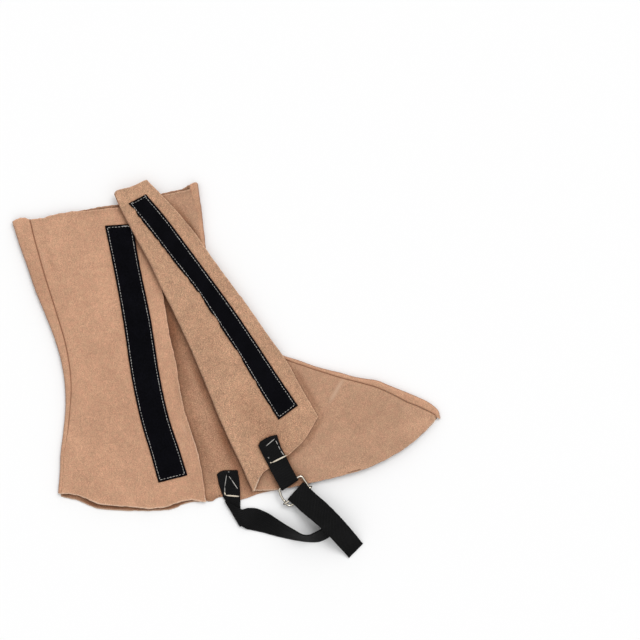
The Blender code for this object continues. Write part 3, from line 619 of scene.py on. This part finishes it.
def strip_grid(table, lift, pulled=0.0):
    """A strip's middle surface; its left edge is pulled in by its stitches by up to this much."""
    rows = np.arange((len(table) - 1) * STRIP_STEPS + 1) / STRIP_STEPS
    at = spline(table, rows)
    plan, share = between(at[:, :2], at[:, 2:], STRIP_COLUMNS, True, True)
    inward = unit(at[:, 2:] - at[:, :2])
    pull = pulled * np.maximum(wave(at[:, :2], 11, 31) + 0.5 * wave(at[:, :2], 26, 32), 0)
    plan += (pull[:, None] * np.clip(1 - share * 4, 0, 1))[..., None] * inward[:, None]
    return lifted(plan, lift(plan) + WALL + REST + STRIP / 2)


def web_turn(line, low, high):
    """A strap's half turn about this line, from the low to the high heights of its two edges."""
    ends = np.array(line).reshape(2, 2)
    across = unit(ends[1] - ends[0])
    outward = np.array([-across[1], across[0]])
    low, high = np.array(low), np.array(high)
    foot = ends - outward * ((high - low + WEB) / 2)[:, None]
    return np.array(half_turn(foot, outward, low, high, WEB_TURN))


def web_run(found):
    """A smooth stretch of strap through these rows of edge points."""
    flat = np.concatenate([np.asarray(x).reshape(-1, 6) for x in found])
    return spline(flat, np.arange((len(flat) - 1) * WEB_STEPS + 1) / WEB_STEPS).reshape(-1, 2, 3)


def long_edges():
    line = (*LONG_FOLD[2:], *LONG_FOLD[:2])
    fold = web_turn(line, LONG_FOLD_HEIGHTS[1::-1], LONG_FOLD_HEIGHTS[:1:-1])[:, ::-1]
    bar = FRAME_CORNERS[0, 2] * (1 - BAR_SHARE) + FRAME_CORNERS[3, 2] * BAR_SHARE + WIRE + REST
    turn = web_turn(LONG_TURN, [bar - BAR_RADIUS] * 2, [bar + BAR_RADIUS] * 2)
    return np.concatenate([
        web_run([LONG_SEWN, fold[:1]]),
        fold[1:-1],
        web_run([fold[-1:], LONG_LOOP, turn[:1]]),
        turn[1:-1],
        web_run([turn[-1:], LONG_TAIL]),
    ])


def short_edges():
    edges = SHORT.reshape(-1, 2, 2)
    lower = lifted(edges, flap_lift(edges) + WALL + REST + WEB / 2)
    upper = lower + np.array([0, 0, WEB + REST])
    middle = FRAME_CORNERS[0, 2]
    line = (*SHORT_TURN[2:], *SHORT_TURN[:2])
    turn = web_turn(line, [middle - SHORT_RADIUS] * 2, [middle + SHORT_RADIUS] * 2)[:, ::-1]
    return np.concatenate([web_run([lower, turn[:1]]), turn[1:-1], web_run([turn[-1:], upper[::-1]])])


def web_grid(edges, rise, both=False):
    """A strap's middle surface; rise is the uneven cut of its first end, or of both."""
    grid = edges[:, :1] + (edges[:, 1:] - edges[:, :1]) * WEB_SHARES[None, :, None]
    amount = read(rise, WEB_SHARES)[:, None]
    for rows in (grid, grid[::-1])[: 1 + both]:
        up = unit(rows[0, :, :2] - rows[8, :, :2])
        for k in range(6):
            rows[k, :, :2] += up * amount * (1 - k / 6)
    return grid


def add_object(name, data):
    obj = bpy.data.objects.new(name, data)
    bpy.context.scene.collection.objects.link(obj)
    return obj


def merged_grids(grids):
    """Points, sheet coordinates in metres, quads and the grid that each point came from."""
    found, sheet, source, quads = [], [], [], []
    for number, grid in enumerate(grids):
        index = len(found) + np.arange(grid[..., 0].size).reshape(grid.shape[:2])
        for row, length in zip(grid, lengths(grid)):
            found.extend(row)
            sheet.extend((width / 1000, length / 1000, 0) for width in lengths(row))
        source.extend([number] * index.size)
        corners = [index[:-1, :-1], index[1:, :-1], index[1:, 1:], index[:-1, 1:]]
        quads.append(np.stack(corners, axis=-1).reshape(-1, 4))
    found = np.array(found)
    _, keep, merged = np.unique(np.round(found, 2), axis=0, return_index=True, return_inverse=True)
    quads = merged.reshape(-1)[np.concatenate(quads)]
    quads = quads[[len(set(q)) == 4 for q in quads]]
    return found[keep], np.array(sheet)[keep], np.array(source)[keep], quads


def distance_from(points, starts, ends):
    """Distance of every point from the nearest of these short runs."""
    tree = KDTree(len(starts))
    for i, middle in enumerate((starts + ends) / 2):
        tree.insert(middle, i)
    tree.balance()
    runs = ends - starts
    sizes = np.maximum((runs**2).sum(axis=1), 1e-12)
    found = np.empty(len(points))
    for v, point in enumerate(points):
        near = [i for _, i, _ in tree.find_n(point, 6)]
        t = np.clip(((point - starts[near]) * runs[near]).sum(axis=1) / sizes[near], 0, 1)
        found[v] = np.linalg.norm(point - starts[near] - runs[near] * t[:, None], axis=1).min()
    return found


def point_normals(points, quads):
    normal = np.cross(points[quads[:, 2]] - points[quads[:, 0]], points[quads[:, 3]] - points[quads[:, 1]])
    size = np.linalg.norm(normal, axis=1)[:, None]
    normal = normal / np.maximum(size, 1e-9)
    total = np.zeros_like(points)
    for k in range(4):
        np.add.at(total, quads[:, k], normal * np.sqrt(size))
    return total / np.maximum(np.linalg.norm(total, axis=1), 1e-9)[:, None]


def rim_of(quads):
    """The edges that have a quad on one side only."""
    ends = np.concatenate([quads[:, [k, (k + 1) % 4]] for k in range(4)])
    _, first, count = np.unique(np.sort(ends, axis=1), axis=0, return_index=True, return_counts=True)
    return ends[first[count == 1]]


def sheet_object(
    name, grids, wall, materials, round_edge=EDGE_ROUND, seams=(), seamed=(), curl=0.0, fray=0.0, painted_shades=()
):
    """A thin closed shell about these grids, with a rounded rim, a curl and fray at its free edges, and a
    soft trough along its seams, on the grids that seamed names. Its materials are those of the upper face,
    the lower face and the rim. The first grid also has the painted shade given in painted_shades.
    """
    points, sheet, source, quads = merged_grids(grids)
    rim = rim_of(quads)
    whole = distance_from(points, points[rim[:, 0]], points[rim[:, 1]])
    seam = np.full(len(points), FAR)
    beside = np.isin(source, seamed) & (points[:, 2] >= SEAM_LEAST_HEIGHT)
    if seams:
        starts = np.concatenate([lifted(line[:-1], 0) for line in seams])
        ends = np.concatenate([lifted(line[1:], 0) for line in seams])
        seam[beside] = distance_from(lifted(points[beside, :2], 0), starts, ends)
    cut = rim[(seam[rim[:, 0]] > 0.8) | (seam[rim[:, 1]] > 0.8)]
    free = distance_from(points, points[cut[:, 0]], points[cut[:, 1]])
    lift = curl * (1 + 0.8 * wave(points[:, :2], 42, 11)) * np.clip(1 - free / 7, 0, 1) ** 2
    torn = fray * np.clip(1 - free / 2, 0, 1) ** 2
    for axis, seed in ((0, 12), (1, 14)):
        points[:, axis] += torn * (wave(points[:, :2], 9, seed) + 0.7 * wave(points[:, :2], 3.5, seed + 1))
    plan = points[:, :2]
    faint = creases(plan, FAINT_SEAM)
    points[:, 2] += lift - SEAM_DEPTH * np.clip(1 - faint, 0, 1) * np.exp(-((seam / SEAM_HALF) ** 2))
    t = 1 - np.minimum(whole / round_edge, 1)
    least = EDGE_LEAST + (0.95 - EDGE_LEAST) * np.clip(faint, 0, 1) * (seam < 3)
    weight = least + (1 - least) * np.sqrt(np.maximum(1 - t * t, 0))
    half = point_normals(points, quads) * (wall / 2 * weight)[:, None]
    count = len(points)
    faces = [tuple(q) for q in quads] + [tuple(q[::-1] + count) for q in quads]
    faces += [(b, a, a + count, b + count) for a, b in rim]
    mesh = bpy.data.meshes.new(name)
    mesh.from_pydata(((np.concatenate([points + half, points - half]) - ORIGIN) / 1000).tolist(), [], faces)
    mesh.polygons.foreach_set("use_smooth", [True] * len(faces))
    marks = {
        "edge": np.clip(1 - free / 2.6, 0, 1),
        "seam": np.clip(1 - seam / 3, 0, 1) * np.clip(1 - faint, 0.1, 1),
        "scuff": np.clip(creases(plan, SCUFFS), 0, 1) * (points[:, 2] > 2),
        # Painted shade beside edges and under hems, with lighter and darker patches
        "tone_and_painted_shade": np.maximum(creases(plan, TONES_AND_PAINTED_SHADE) + creases(plan, painted_shades) * (source == 0), LEAST_TONE),
        "rim": np.clip(creases(plan, RIMS), 0, 1) * np.clip(1.4 - free / 1.2, 0, 1),
    }
    for label, values in marks.items():
        mesh.attributes.new(label, "FLOAT", "POINT").data.foreach_set("value", np.tile(values, 2))
    place = mesh.attributes.new("sheet", "FLOAT_VECTOR", "POINT")
    place.data.foreach_set("vector", np.tile(sheet, (2, 1)).ravel())
    for material in materials:
        mesh.materials.append(material)
    if len(materials) > 1:
        slots = [0] * len(quads) + [1] * len(quads) + [2] * len(rim)
        mesh.polygons.foreach_set("material_index", slots)
    mesh.update()
    return add_object(name, mesh)


def wire_object(name, points, cyclic, material):
    curve = bpy.data.curves.new(name, "CURVE")
    curve.dimensions = "3D"
    curve.bevel_depth = (WIRE + PLATING) / 2000
    curve.bevel_resolution = 6
    curve.use_fill_caps = True
    curve.resolution_u = 6
    spl = curve.splines.new("NURBS")
    points = (np.asarray(points) - ORIGIN) / 1000
    spl.points.add(len(points) - 1)
    for target, point in zip(spl.points, points):
        target.co = (*point, 1)
    spl.order_u = 3
    spl.use_endpoint_u = not cyclic
    spl.use_cyclic_u = cyclic
    curve.materials.append(material)
    return add_object(name, curve)


def frame_points():
    points = []
    for i, corner in enumerate(FRAME_CORNERS):
        before = unit(FRAME_CORNERS[i - 1] - corner) * FRAME_RADII[i]
        after = unit(FRAME_CORNERS[(i + 1) % 4] - corner) * FRAME_RADII[i]
        points.append(corner + before * 2)
        for t in np.linspace(0, 1, 7):
            points.append(corner + before * (1 - t) ** 2 + after * t**2)
        points.append(corner + after * 1.5)
        if i == 3:
            run = FRAME_CORNERS[0] - corner
            outward = np.array([-run[1], run[0], 0]) / np.linalg.norm(run)
            for t in (0.4, 0.5, 0.6, 0.7, 0.8):
                points.append(corner + run * t + outward * (FRAME_BOW * 4 * t * (1 - t)))
    return points


def bar_points():
    a, b, c, d = FRAME_CORNERS
    left = a + (d - a) * BAR_SHARE
    right = b + (c - b) * BAR_SHARE
    outward = unit((right - left)[:2])
    radius = WIRE + REST
    points = []
    for side, sign in ((left, -1), (right, 1)):
        hook = []
        for k in range(11):
            angle = math.pi / 2 - BAR_HOOK * k / 10
            offset = sign * radius * math.cos(angle)
            hook.append((*(side[:2] + outward * offset), side[2] + radius * math.sin(angle)))
        points.extend(hook[::-1] if sign < 0 else hook)
    return points


# Materials


def feed(node, inputs):
    """Links or sets these inputs of a node; a colour has three values."""
    for label, value in dict(inputs).items():
        target = node.inputs[label]
        if isinstance(value, bpy.types.NodeSocket):
            node.id_data.links.new(value, target)
        elif target.type == "RGBA":
            target.default_value = (*value, 1)
        else:
            target.default_value = value


def add(tree, kind, inputs=(), **settings):
    """A new shader node of this kind with these settings and inputs."""
    node = tree.nodes.new("ShaderNode" + kind)
    for name, value in settings.items():
        setattr(node, name, value)
    feed(node, inputs)
    return node


def shader(name, colour, rough, metal=0.0, sheen=0.0, specular=0.5):
    """A material, its node tree, its main shader and the place on the object that its patterns use."""
    made = bpy.data.materials.new(name)
    made.use_nodes = True
    tree = made.node_tree
    main = tree.nodes["Principled BSDF"]
    feed(main, {
        "Base Color": colour, "Roughness": rough, "Metallic": metal, "Sheen Weight": sheen,
        "Sheen Roughness": 0.6, "Specular IOR Level": specular,
    })
    return made, tree, main, add(tree, "TexCoord").outputs["Object"]


def noise(tree, place, scale, detail, rough=0.5, stretch=None):
    """A noise of this scale (per metre), from 0 to 1."""
    if stretch:
        place = add(tree, "Mapping", {"Vector": place, "Scale": stretch}).outputs["Vector"]
    inputs = {"Vector": place, "Scale": scale, "Detail": detail, "Roughness": rough}
    return add(tree, "TexNoise", inputs).outputs["Fac"]


def blend(tree, factor, low, high, spread):
    """Colour from low to high by a noise, over this spread about its middle. One number is a grey."""
    ramp = add(tree, "ValToRGB", {"Fac": factor})
    ramp.color_ramp.interpolation = "EASE"
    ends = ((0.5 - spread, low), (0.5 + spread, high))
    for element, (position, colour) in zip(ramp.color_ramp.elements, ends):
        element.position = position
        element.color = (*np.broadcast_to(colour, 3), 1)
    return ramp.outputs["Color"]


def mix(tree, factor, a, b, kind="MIX"):
    """Colour a where factor is 0, and colour b where it is 1, or a times b for the kind MULTIPLY."""
    inputs = {"Factor": factor, "A": a, "B": b}
    return add(tree, "Mix", inputs, data_type="RGBA", blend_type=kind).outputs["Result"]


def shade(tree, a, b, factor=1):
    return mix(tree, factor, a, b, "MULTIPLY")


def ranged(tree, value, low, high, to_low=0.0, to_high=1.0, kind="SMOOTHSTEP"):
    inputs = {"Value": value, "From Min": low, "From Max": high, "To Min": to_low, "To Max": to_high}
    return add(tree, "MapRange", inputs, interpolation_type=kind).outputs["Result"]


def mark(tree, name):
    """A point attribute's value."""
    return add(tree, "Attribute", attribute_name=name).outputs["Fac"]


def facing_up(tree):
    """The Z of the surface's normal."""
    normal = add(tree, "NewGeometry").outputs["Normal"]
    return add(tree, "SeparateXYZ", {"Vector": normal}).outputs["Z"]


def bumped(tree, main, heights):
    """Chains bumps of (height, depth in metres) on the main shader."""
    chain = {}
    for height, depth in heights:
        inputs = {"Strength": 1, "Distance": depth, "Height": height, **chain}
        chain = {"Normal": add(tree, "Bump", inputs).outputs["Normal"]}
    feed(main, chain)


# The leather's noises: scale, detail, roughness, stretch. Large patches, medium and small mottle, nap
# streaks, fine grain, single fibres, and shifts of hue
SUEDE_NOISES = (
    (11, 3, 0.5), (60, 4, 0.6), (300, 3, 0.7, (0.5, 1, 1)), (620, 3, 0.75, (1, 0.3, 1)), (1150, 3, 0.75),
    (2600, 2, 0.6), (170, 3, 0.7),
)


def suede(name, colour, contrast=1.0, grain=1.0):
    """Split leather: mottle, nap, scuffs, lighter and darker tones, painted shade beside edges, on upright
    sides, in gaps and in seams, and pale cut edges.
    """
    made, tree, main, place = shader(name, colour, 0.95, sheen=0.12, specular=0.12)
    colour = np.array(colour)
    large, medium, small, streak, fine, hair, hue = (noise(tree, place, *row) for row in SUEDE_NOISES)
    tint = blend(tree, large, colour * (0.95, 0.94, 0.93), colour * 1.03, 0.2)
    for pattern, amount, spread in (
        (medium, 0.06 * contrast, 0.2), (small, 0.035 * contrast, 0.18), (streak, 0.06 * grain, 0.15),
        (fine, 0.2 * grain, 0.14), (hair, 0.26 * grain, 0.18),
    ):
        tint = shade(tree, tint, blend(tree, pattern, 1 - amount, 1 + amount, spread))
    tint = shade(tree, tint, blend(tree, hue, (1.03, 0.98, 0.98), (0.98, 1.01, 0.99), 0.2))
    tint = mix(tree, mark(tree, "scuff"), tint, colour * SCUFFED)
    # Painted shade, warm and darker, and lighter patches, from its tones
    tone_and_painted_shade = mark(tree, "tone_and_painted_shade")
    tint = shade(tree, tint, WARM_SHADE, ranged(tree, tone_and_painted_shade, LEAST_TONE, 0.0, 1.0, 0.0, "LINEAR"))
    tint = shade(tree, tint, LIGHT_TONE, ranged(tree, tone_and_painted_shade, 0.0, 0.3, kind="LINEAR"))
    # Painted shade: darker where the surface faces sideways
    flat = add(tree, "Math", {0: facing_up(tree)}, operation="ABSOLUTE").outputs["Value"]
    tint = shade(tree, tint, SIDE_SHADE, ranged(tree, flat, 0.2, 0.85, 1.0, 0.0))
    # Painted shade in narrow gaps, from ambient occlusion
    open_air = add(tree, "AmbientOcclusion", {"Distance": CONTACT_REACH}, samples=6).outputs["AO"]
    tint = shade(tree, tint, CONTACT_PAINTED_SHADE, ranged(tree, open_air, 0.25, 0.95, 1.0, 0.0))
    # Painted shade in the sewn grooves
    tint = mix(tree, ranged(tree, mark(tree, "seam"), 0.4, 0.95, 0.0, 0.8), tint, colour * PAINTED_GROOVE_SHADE)
    pale = blend(tree, fine, (1.0, 1.03, 1.06), (1.4, 1.5, 1.6), 0.14)
    tint = shade(tree, tint, pale, ranged(tree, mark(tree, "edge"), 0.35, 1.0, 0.0, 0.6))
    bright = blend(tree, fine, colour, np.minimum(colour * LIGHT_RIM, 0.9), 0.1)
    tint = mix(tree, ranged(tree, mark(tree, "rim"), 0.1, 0.9, 0.0, 0.9), tint, bright)
    feed(main, {"Base Color": tint})
    relief = [(medium, 0.0003), (small, 0.0003), (streak, 0.0003), (fine, 0.0003 * grain), (hair, 0.0002)]
    bumped(tree, main, relief)
    return made


def tape(name, colour, pile_scale):
    """Hook or loop tape: matt black with a tiny even pile."""
    made, tree, main, place = shader(name, colour, 0.9, specular=0.05)
    pile = noise(tree, place, pile_scale, 3, 0.7)
    colour = np.array(colour)
    tint = blend(tree, pile, colour * 0.4, colour * 2.2, 0.2)
    tint = shade(tree, tint, blend(tree, noise(tree, place, 60, 3), 0.75, 1.25, 0.25))
    feed(main, {"Base Color": tint})
    bumped(tree, main, [(pile, 0.0005)])
    return made


def webbing(name, colour):
    """Ribbed webbing: fine ribs across, a diagonal twill over them, and some wear."""
    made, tree, main, place = shader(name, colour, 0.7, sheen=0.01, specular=0.1)
    sheet = add(tree, "Attribute", attribute_name="sheet").outputs["Vector"]
    twill, ribs = (
        add(
            tree, "TexWave", {"Vector": sheet, "Scale": scale, "Distortion": distortion, "Detail": 1},
            bands_direction=way,
        ).outputs["Fac"]
        for way, scale, distortion in (("DIAGONAL", 260, 0.8), ("Y", 190, 0.4))
    )
    fuzz = noise(tree, place, 1100, 2, 0.7)
    colour = np.array(colour)
    tint = blend(tree, fuzz, colour * 0.4, colour * 1.9, 0.25)
    tint = shade(tree, tint, blend(tree, twill, 0.5, 1.5, 0.4))
    tint = shade(tree, tint, blend(tree, noise(tree, place, 45, 3), 0.8, 1.3, 0.2))
    feed(main, {"Base Color": tint})
    bumped(tree, main, [(twill, 0.0003), (ribs, 0.0002), (fuzz, 0.0002)])
    return made


def nickel(name):
    """Plated wire: its plated colour on top, and painted shade where it faces down or sideways."""
    made, tree, main, place = shader(name, NICKEL, 0.22, metal=1.0)
    tint = blend(tree, noise(tree, place, 120, 3), (0.66, 0.59, 0.49), (0.78, 0.72, 0.62), 0.25)
    # Painted shade where the wire faces down or sideways, its plated colour where it faces up
    feed(main, {"Base Color": mix(tree, ranged(tree, facing_up(tree), 0.45, 0.97), PAINTED_WIRE_SHADE, tint)})
    return made


def thread(name, colour):
    made, tree, main, place = shader(name, colour, 0.7, sheen=0.2)
    colour = np.array(colour)
    tint = blend(tree, noise(tree, place, 1800, 2), colour * 0.8, np.minimum(colour * 1.15, 1), 0.25)
    feed(main, {"Base Color": tint})
    return made


# Stitches


def tubes(name, runs, thick, material):
    """One object of short round threads, thinner at their ends; each run is an array of points in mm."""
    turn = np.linspace(0, 2 * math.pi, THREAD_SIDES, endpoint=False)[:, None]
    found, faces = [], []
    for run, size in zip(runs, np.broadcast_to(thick, len(runs))):
        forward = unit(np.gradient(run, axis=0))[:, None]
        side = unit(np.cross(forward, (0, 0, 1)))
        radius = size / 2 * (1 - 0.75 * np.linspace(-1, 1, len(run)) ** 4)
        ring = side * np.cos(turn) + np.cross(side, forward) * np.sin(turn)
        first = len(found) + np.arange(THREAD_SIDES)
        for start in first + THREAD_SIDES * np.arange(len(run) - 1)[:, None]:
            after = np.roll(start, -1)
            faces += zip(start, start + THREAD_SIDES, after + THREAD_SIDES, after)
        faces += [first, first[::-1] + THREAD_SIDES * (len(run) - 1)]
        found.extend((run[:, None] + radius[:, None, None] * ring).reshape(-1, 3))
    mesh = bpy.data.meshes.new(name)
    faces = [[int(i) for i in face] for face in faces]
    mesh.from_pydata(((np.array(found) - ORIGIN) / 1000).tolist(), [], faces)
    mesh.polygons.foreach_set("use_smooth", [len(face) == 4 for face in faces])
    mesh.materials.append(material)
    return add_object(name, mesh)


def stitch_runs(path, pitch, length, top, rng, wander=0.15):
    """Stitches along a plan path: each rises from the surface, top(plan), and dips back into it."""
    along = lengths(path)
    count = int(along[-1] // pitch)
    arch = np.sin(np.linspace(0, math.pi, 7)) ** 0.5
    runs = []
    for i in range(count):
        size = length * rng.uniform(0.72, 1.06)
        start = (i + 0.5) * along[-1] / count - size / 2 + rng.normal(0, wander)
        plan = resampled(path, along, np.linspace(start, start + size, 7))
        plan = plan + rng.normal(0, wander / 2, 2)
        runs.append(lifted(plan, top(plan) - 0.25 + 0.4 * arch))
    return runs


def strip_border(table, inset):
    """Two lines of plan points at this inset inside a strip's long edges, and at its ends."""
    at = spline(table, np.linspace(0, len(table) - 1, BORDER_POINTS))
    across = unit(at[:, 2:] - at[:, :2]) * inset
    left, right = at[:, :2] + across, at[:, 2:] - across
    along = lengths((left + right) / 2)
    kept = np.linspace(inset, along[-1] - inset, BORDER_POINTS)
    return resampled(left, along, kept), resampled(right, along, kept)


# Threads on the two straps' sewn ends: x, y of each end, thickness, 1 where it is one long heavy stitch
LONG_THREADS = (
    (0.8, -122.4, -1.4, -136.9, 0.7, 0), (-1.4, -136.9, -1.2, -142.7, 0.8, 0),
    (3.5, -124.1, 6.5, -128.2, 0.7, 0), (6.5, -128.2, 13.9, -139.2, 1, 0),
    (-1.7, -142.6, -0.5, -146.3, 1.4, 1), (-0.5, -146.3, 16, -147.6, 1.7, 1),
    (2.4, -119, 4.2, -119.4, 0.6, 0),
)
SHORT_THREADS = (
    (46.6, -88.7, 56.6, -80.3, 0.9, 0), (58, -82.4, 60.2, -87, 0.8, 0), (60.8, -88.4, 63.2, -93, 0.8, 0),
    (63.8, -94.2, 67.4, -99.4, 1, 0), (53.5, -107.9, 70.6, -99.4, 1.8, 1), (51.6, -108, 53, -107.6, 1.3, 1),
    (49, -101.4, 50.2, -103, 0.8, 0),
)

# Loose thread ends on the two strips' borders
KNOTS = (
    (-109, 190.4, -106.4, 192.6, 0.9, 0, "hook"), (-93.6, 200.6, -91.4, 198.6, 0.9, 0, "hook"),
    (-121, 165.2, -112, 165.8, 0.8, 0, "loop"), (-76, -128.6, -74.2, -127, 0.9, 0, "loop"),
)


def thread_runs(table, top, heavy):
    """The light or the heavy threads of a table: (runs, thicknesses)."""
    runs, thick = [], []
    for x0, y0, x1, y1, size, kind, *_ in table:
        if kind != heavy:
            continue
        plan = np.linspace((x0, y0), (x1, y1), 9)
        arch = np.sin(np.linspace(0, math.pi, 9)) ** 0.4
        runs.append(lifted(plan, top(plan) - 0.3 + (0.25 + size / 2.4) * arch))
        thick.append(size)
    return runs, thick


def leather_pieces():
    """The inner, front and back panels."""
    outside = suede("suede_outside", OUTSIDE)
    front_skin = suede("suede_front_outside", FRONT_OUTSIDE)
    nap = suede("suede_nap", NAP, 1.3, 1.6)
    # The inner nap is darker than the flap's nap, partly as painted shade
    inside = suede("suede_inner_nap_with_painted_shade", INNER_NAP_WITH_PAINTED_SHADE, 1.3, 1.5)
    cut = suede("suede_cut_edge", CUT_EDGE, 0.8)
    front_seam = spline(FRONT[:, 2:4], np.linspace(0, TOE, 200))
    back_seam = spline(BACK[:, 2:4], np.linspace(0, HEEL, 120))
    medial = sheet_object(
        "inner_leather", inner_grids(), WALL, [inside, outside, cut],
        seams=(front_seam, back_seam), seamed=(1, 2), fray=0.45, painted_shades=INNER_PAINTED_SHADE,
    )
    front = sheet_object(
        "front_leather", front_grids(), WALL, [front_skin, nap, cut],
        seams=(front_seam,), seamed=(0,), curl=1.3, fray=0.35, painted_shades=FRONT_PAINTED_SHADE,
    )
    back = sheet_object(
        "back_leather", back_grids(), WALL, [outside, inside, cut],
        seams=(back_seam,), seamed=(0,), curl=1.3, fray=0.4,
    )
    return medial, front, back


def strip_pieces():
    """The loop strip and the hook strip."""
    loop_pile = tape("loop_pile", LOOP_BLACK, 900)
    hook_pile = tape("hook_pile", HOOK_BLACK, 1400)
    loop = sheet_object("loop_tape_piece", [strip_grid(LOOP, back_lift)], STRIP, [loop_pile], 0.7, fray=0.12)
    hook_grid = strip_grid(HOOK, flap_lift, HOOK_PULL)
    hook = sheet_object("hook_tape_piece", [hook_grid], STRIP, [hook_pile], 0.7, fray=0.12)
    return loop, hook


def strap_pieces():
    """The long strap and the short one."""
    web = webbing("strap_webbing", WEB_BLACK)
    long_grid = web_grid(long_edges(), LONG_END)
    short_grid = web_grid(short_edges(), SHORT_END, True)
    long_strap = sheet_object("stirrup_webbing_piece", [long_grid], WEB, [web], 0.6, fray=0.1)
    short_strap = sheet_object("buckle_webbing_piece", [short_grid], WEB, [web], 0.6, fray=0.1)
    return long_strap, short_strap


def stitch_pieces():
    """All the threads, by name: the strips' borders, the instep seam's toe end and the straps' sewn ends."""
    rng = np.random.default_rng(7)
    pale = thread("border_thread", BORDER_THREAD)
    cream = thread("heavy_thread", HEAVY_THREAD)
    made = {}
    for kind, table, top in (
        ("loop", LOOP, lambda plan: back_lift(plan) + WALL + REST + STRIP),
        ("hook", HOOK, lambda plan: flap_lift(plan) + WALL + REST + STRIP),
    ):
        left, right = strip_border(table, BORDER_INSET)
        runs = []
        for path in (left, right, np.array([left[0], right[0]]), np.array([left[-1], right[-1]])):
            runs += stitch_runs(path, 3.4, 3.15, top, rng)
        runs += thread_runs([row for row in KNOTS if row[-1] == kind], top, 0)[0]
        name = kind + "_border_stitches"
        made[name] = tubes(name, runs, rng.uniform(0.4, 0.78, len(runs)), pale)
    toe_seam = spline(FRONT[:, 2:4], np.linspace(19.5, 26.9, 160))
    runs = stitch_runs(toe_seam, 3.6, 2.7, lambda plan: front_lift(plan) + WALL - 0.62, rng, 0.3)
    name = "instep_seam_stitches"
    made[name] = tubes(name, runs, 0.55, thread("seam_thread", SEAM_THREAD))
    for name, table, top in (
        ("long_strap_stitches", LONG_THREADS, lambda plan: np.full(plan.shape[:-1], 2.55 + WEB / 2)),
        ("short_strap_stitches", SHORT_THREADS, lambda plan: flap_lift(plan) + WALL + 2 * (REST + WEB) + 0.3),
    ):
        for label, heavy, material in (("", 0, pale), ("_heavy", 1, cream)):
            made[name + label] = tubes(name + label, *thread_runs(table, top, heavy), material)
    return made


def build():
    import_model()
    medial, front, back = leather_pieces()
    loop, hook = strip_pieces()
    long_strap, short_strap = strap_pieces()
    metal = nickel("nickel_wire")
    wire = wire_object("frame_wire_piece", frame_points(), True, metal)
    bar = wire_object("bar_wire_piece", bar_points(), False, metal)
    stitches = stitch_pieces()

    for piece, node, slot in (
        (medial, "medial_panel", "suede_inner"), (front, "lateral_front_panel", "suede_front"),
        (back, "lateral_back_panel", "suede_back"), (loop, "loop_strip", "loop_tape"),
        (hook, "hook_strip", "hook_tape"), (long_strap, "stirrup_strap", "stirrup_webbing"),
        (short_strap, "buckle_strap", "buckle_webbing"), (wire, "slider_frame", "frame_wire"),
        (bar, "slider_bar", "bar_wire"),
    ):
        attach(piece, "root")
        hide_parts(node)
    for piece in stitches.values():
        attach(piece, "root")

    stage()


def stage():
    """Pale floor, soft light from the top of the picture, and the camera straight above."""
    bpy.ops.mesh.primitive_plane_add(size=12, location=(0, 0, -0.0002))
    floor = bpy.context.object
    floor.name = "floor"
    floor.data.materials.append(shader("floor_paper", FLOOR, 0.9, specular=0.1)[0])
    world = bpy.data.worlds.new("studio")
    bpy.context.scene.world = world
    world.use_nodes = True
    tree = world.node_tree
    way = add(tree, "TexCoord").outputs["Generated"]
    rise = add(tree, "VectorMath", {0: way, 1: SKY_TILT}, operation="DOT_PRODUCT").outputs["Value"]
    strength = add(tree, "Math", {0: rise, 1: SKY_LIGHT}).outputs["Value"]
    feed(tree.nodes["Background"], {"Color": (1, 1, 1), "Strength": strength})
    sun = bpy.data.lights.new("key", "SUN")
    sun.energy = SUN_LIGHT
    sun.angle = math.radians(30)
    light = add_object("key", sun)
    light.rotation_euler = Vector(SUN_WAY).to_track_quat("-Z", "Y").to_euler()
    camera = bpy.data.cameras.new("camera")
    camera.sensor_width = SENSOR
    camera.lens = SENSOR * VIEW_HEIGHT / VIEW_WIDTH
    camera.clip_end = 50
    eye = add_object("camera", camera)
    eye.location = (np.array([*VIEW_MIDDLE, VIEW_HEIGHT]) - ORIGIN) / 1000
    bpy.context.scene.camera = eye
    bpy.context.scene.view_settings.view_transform = "Standard"


build()
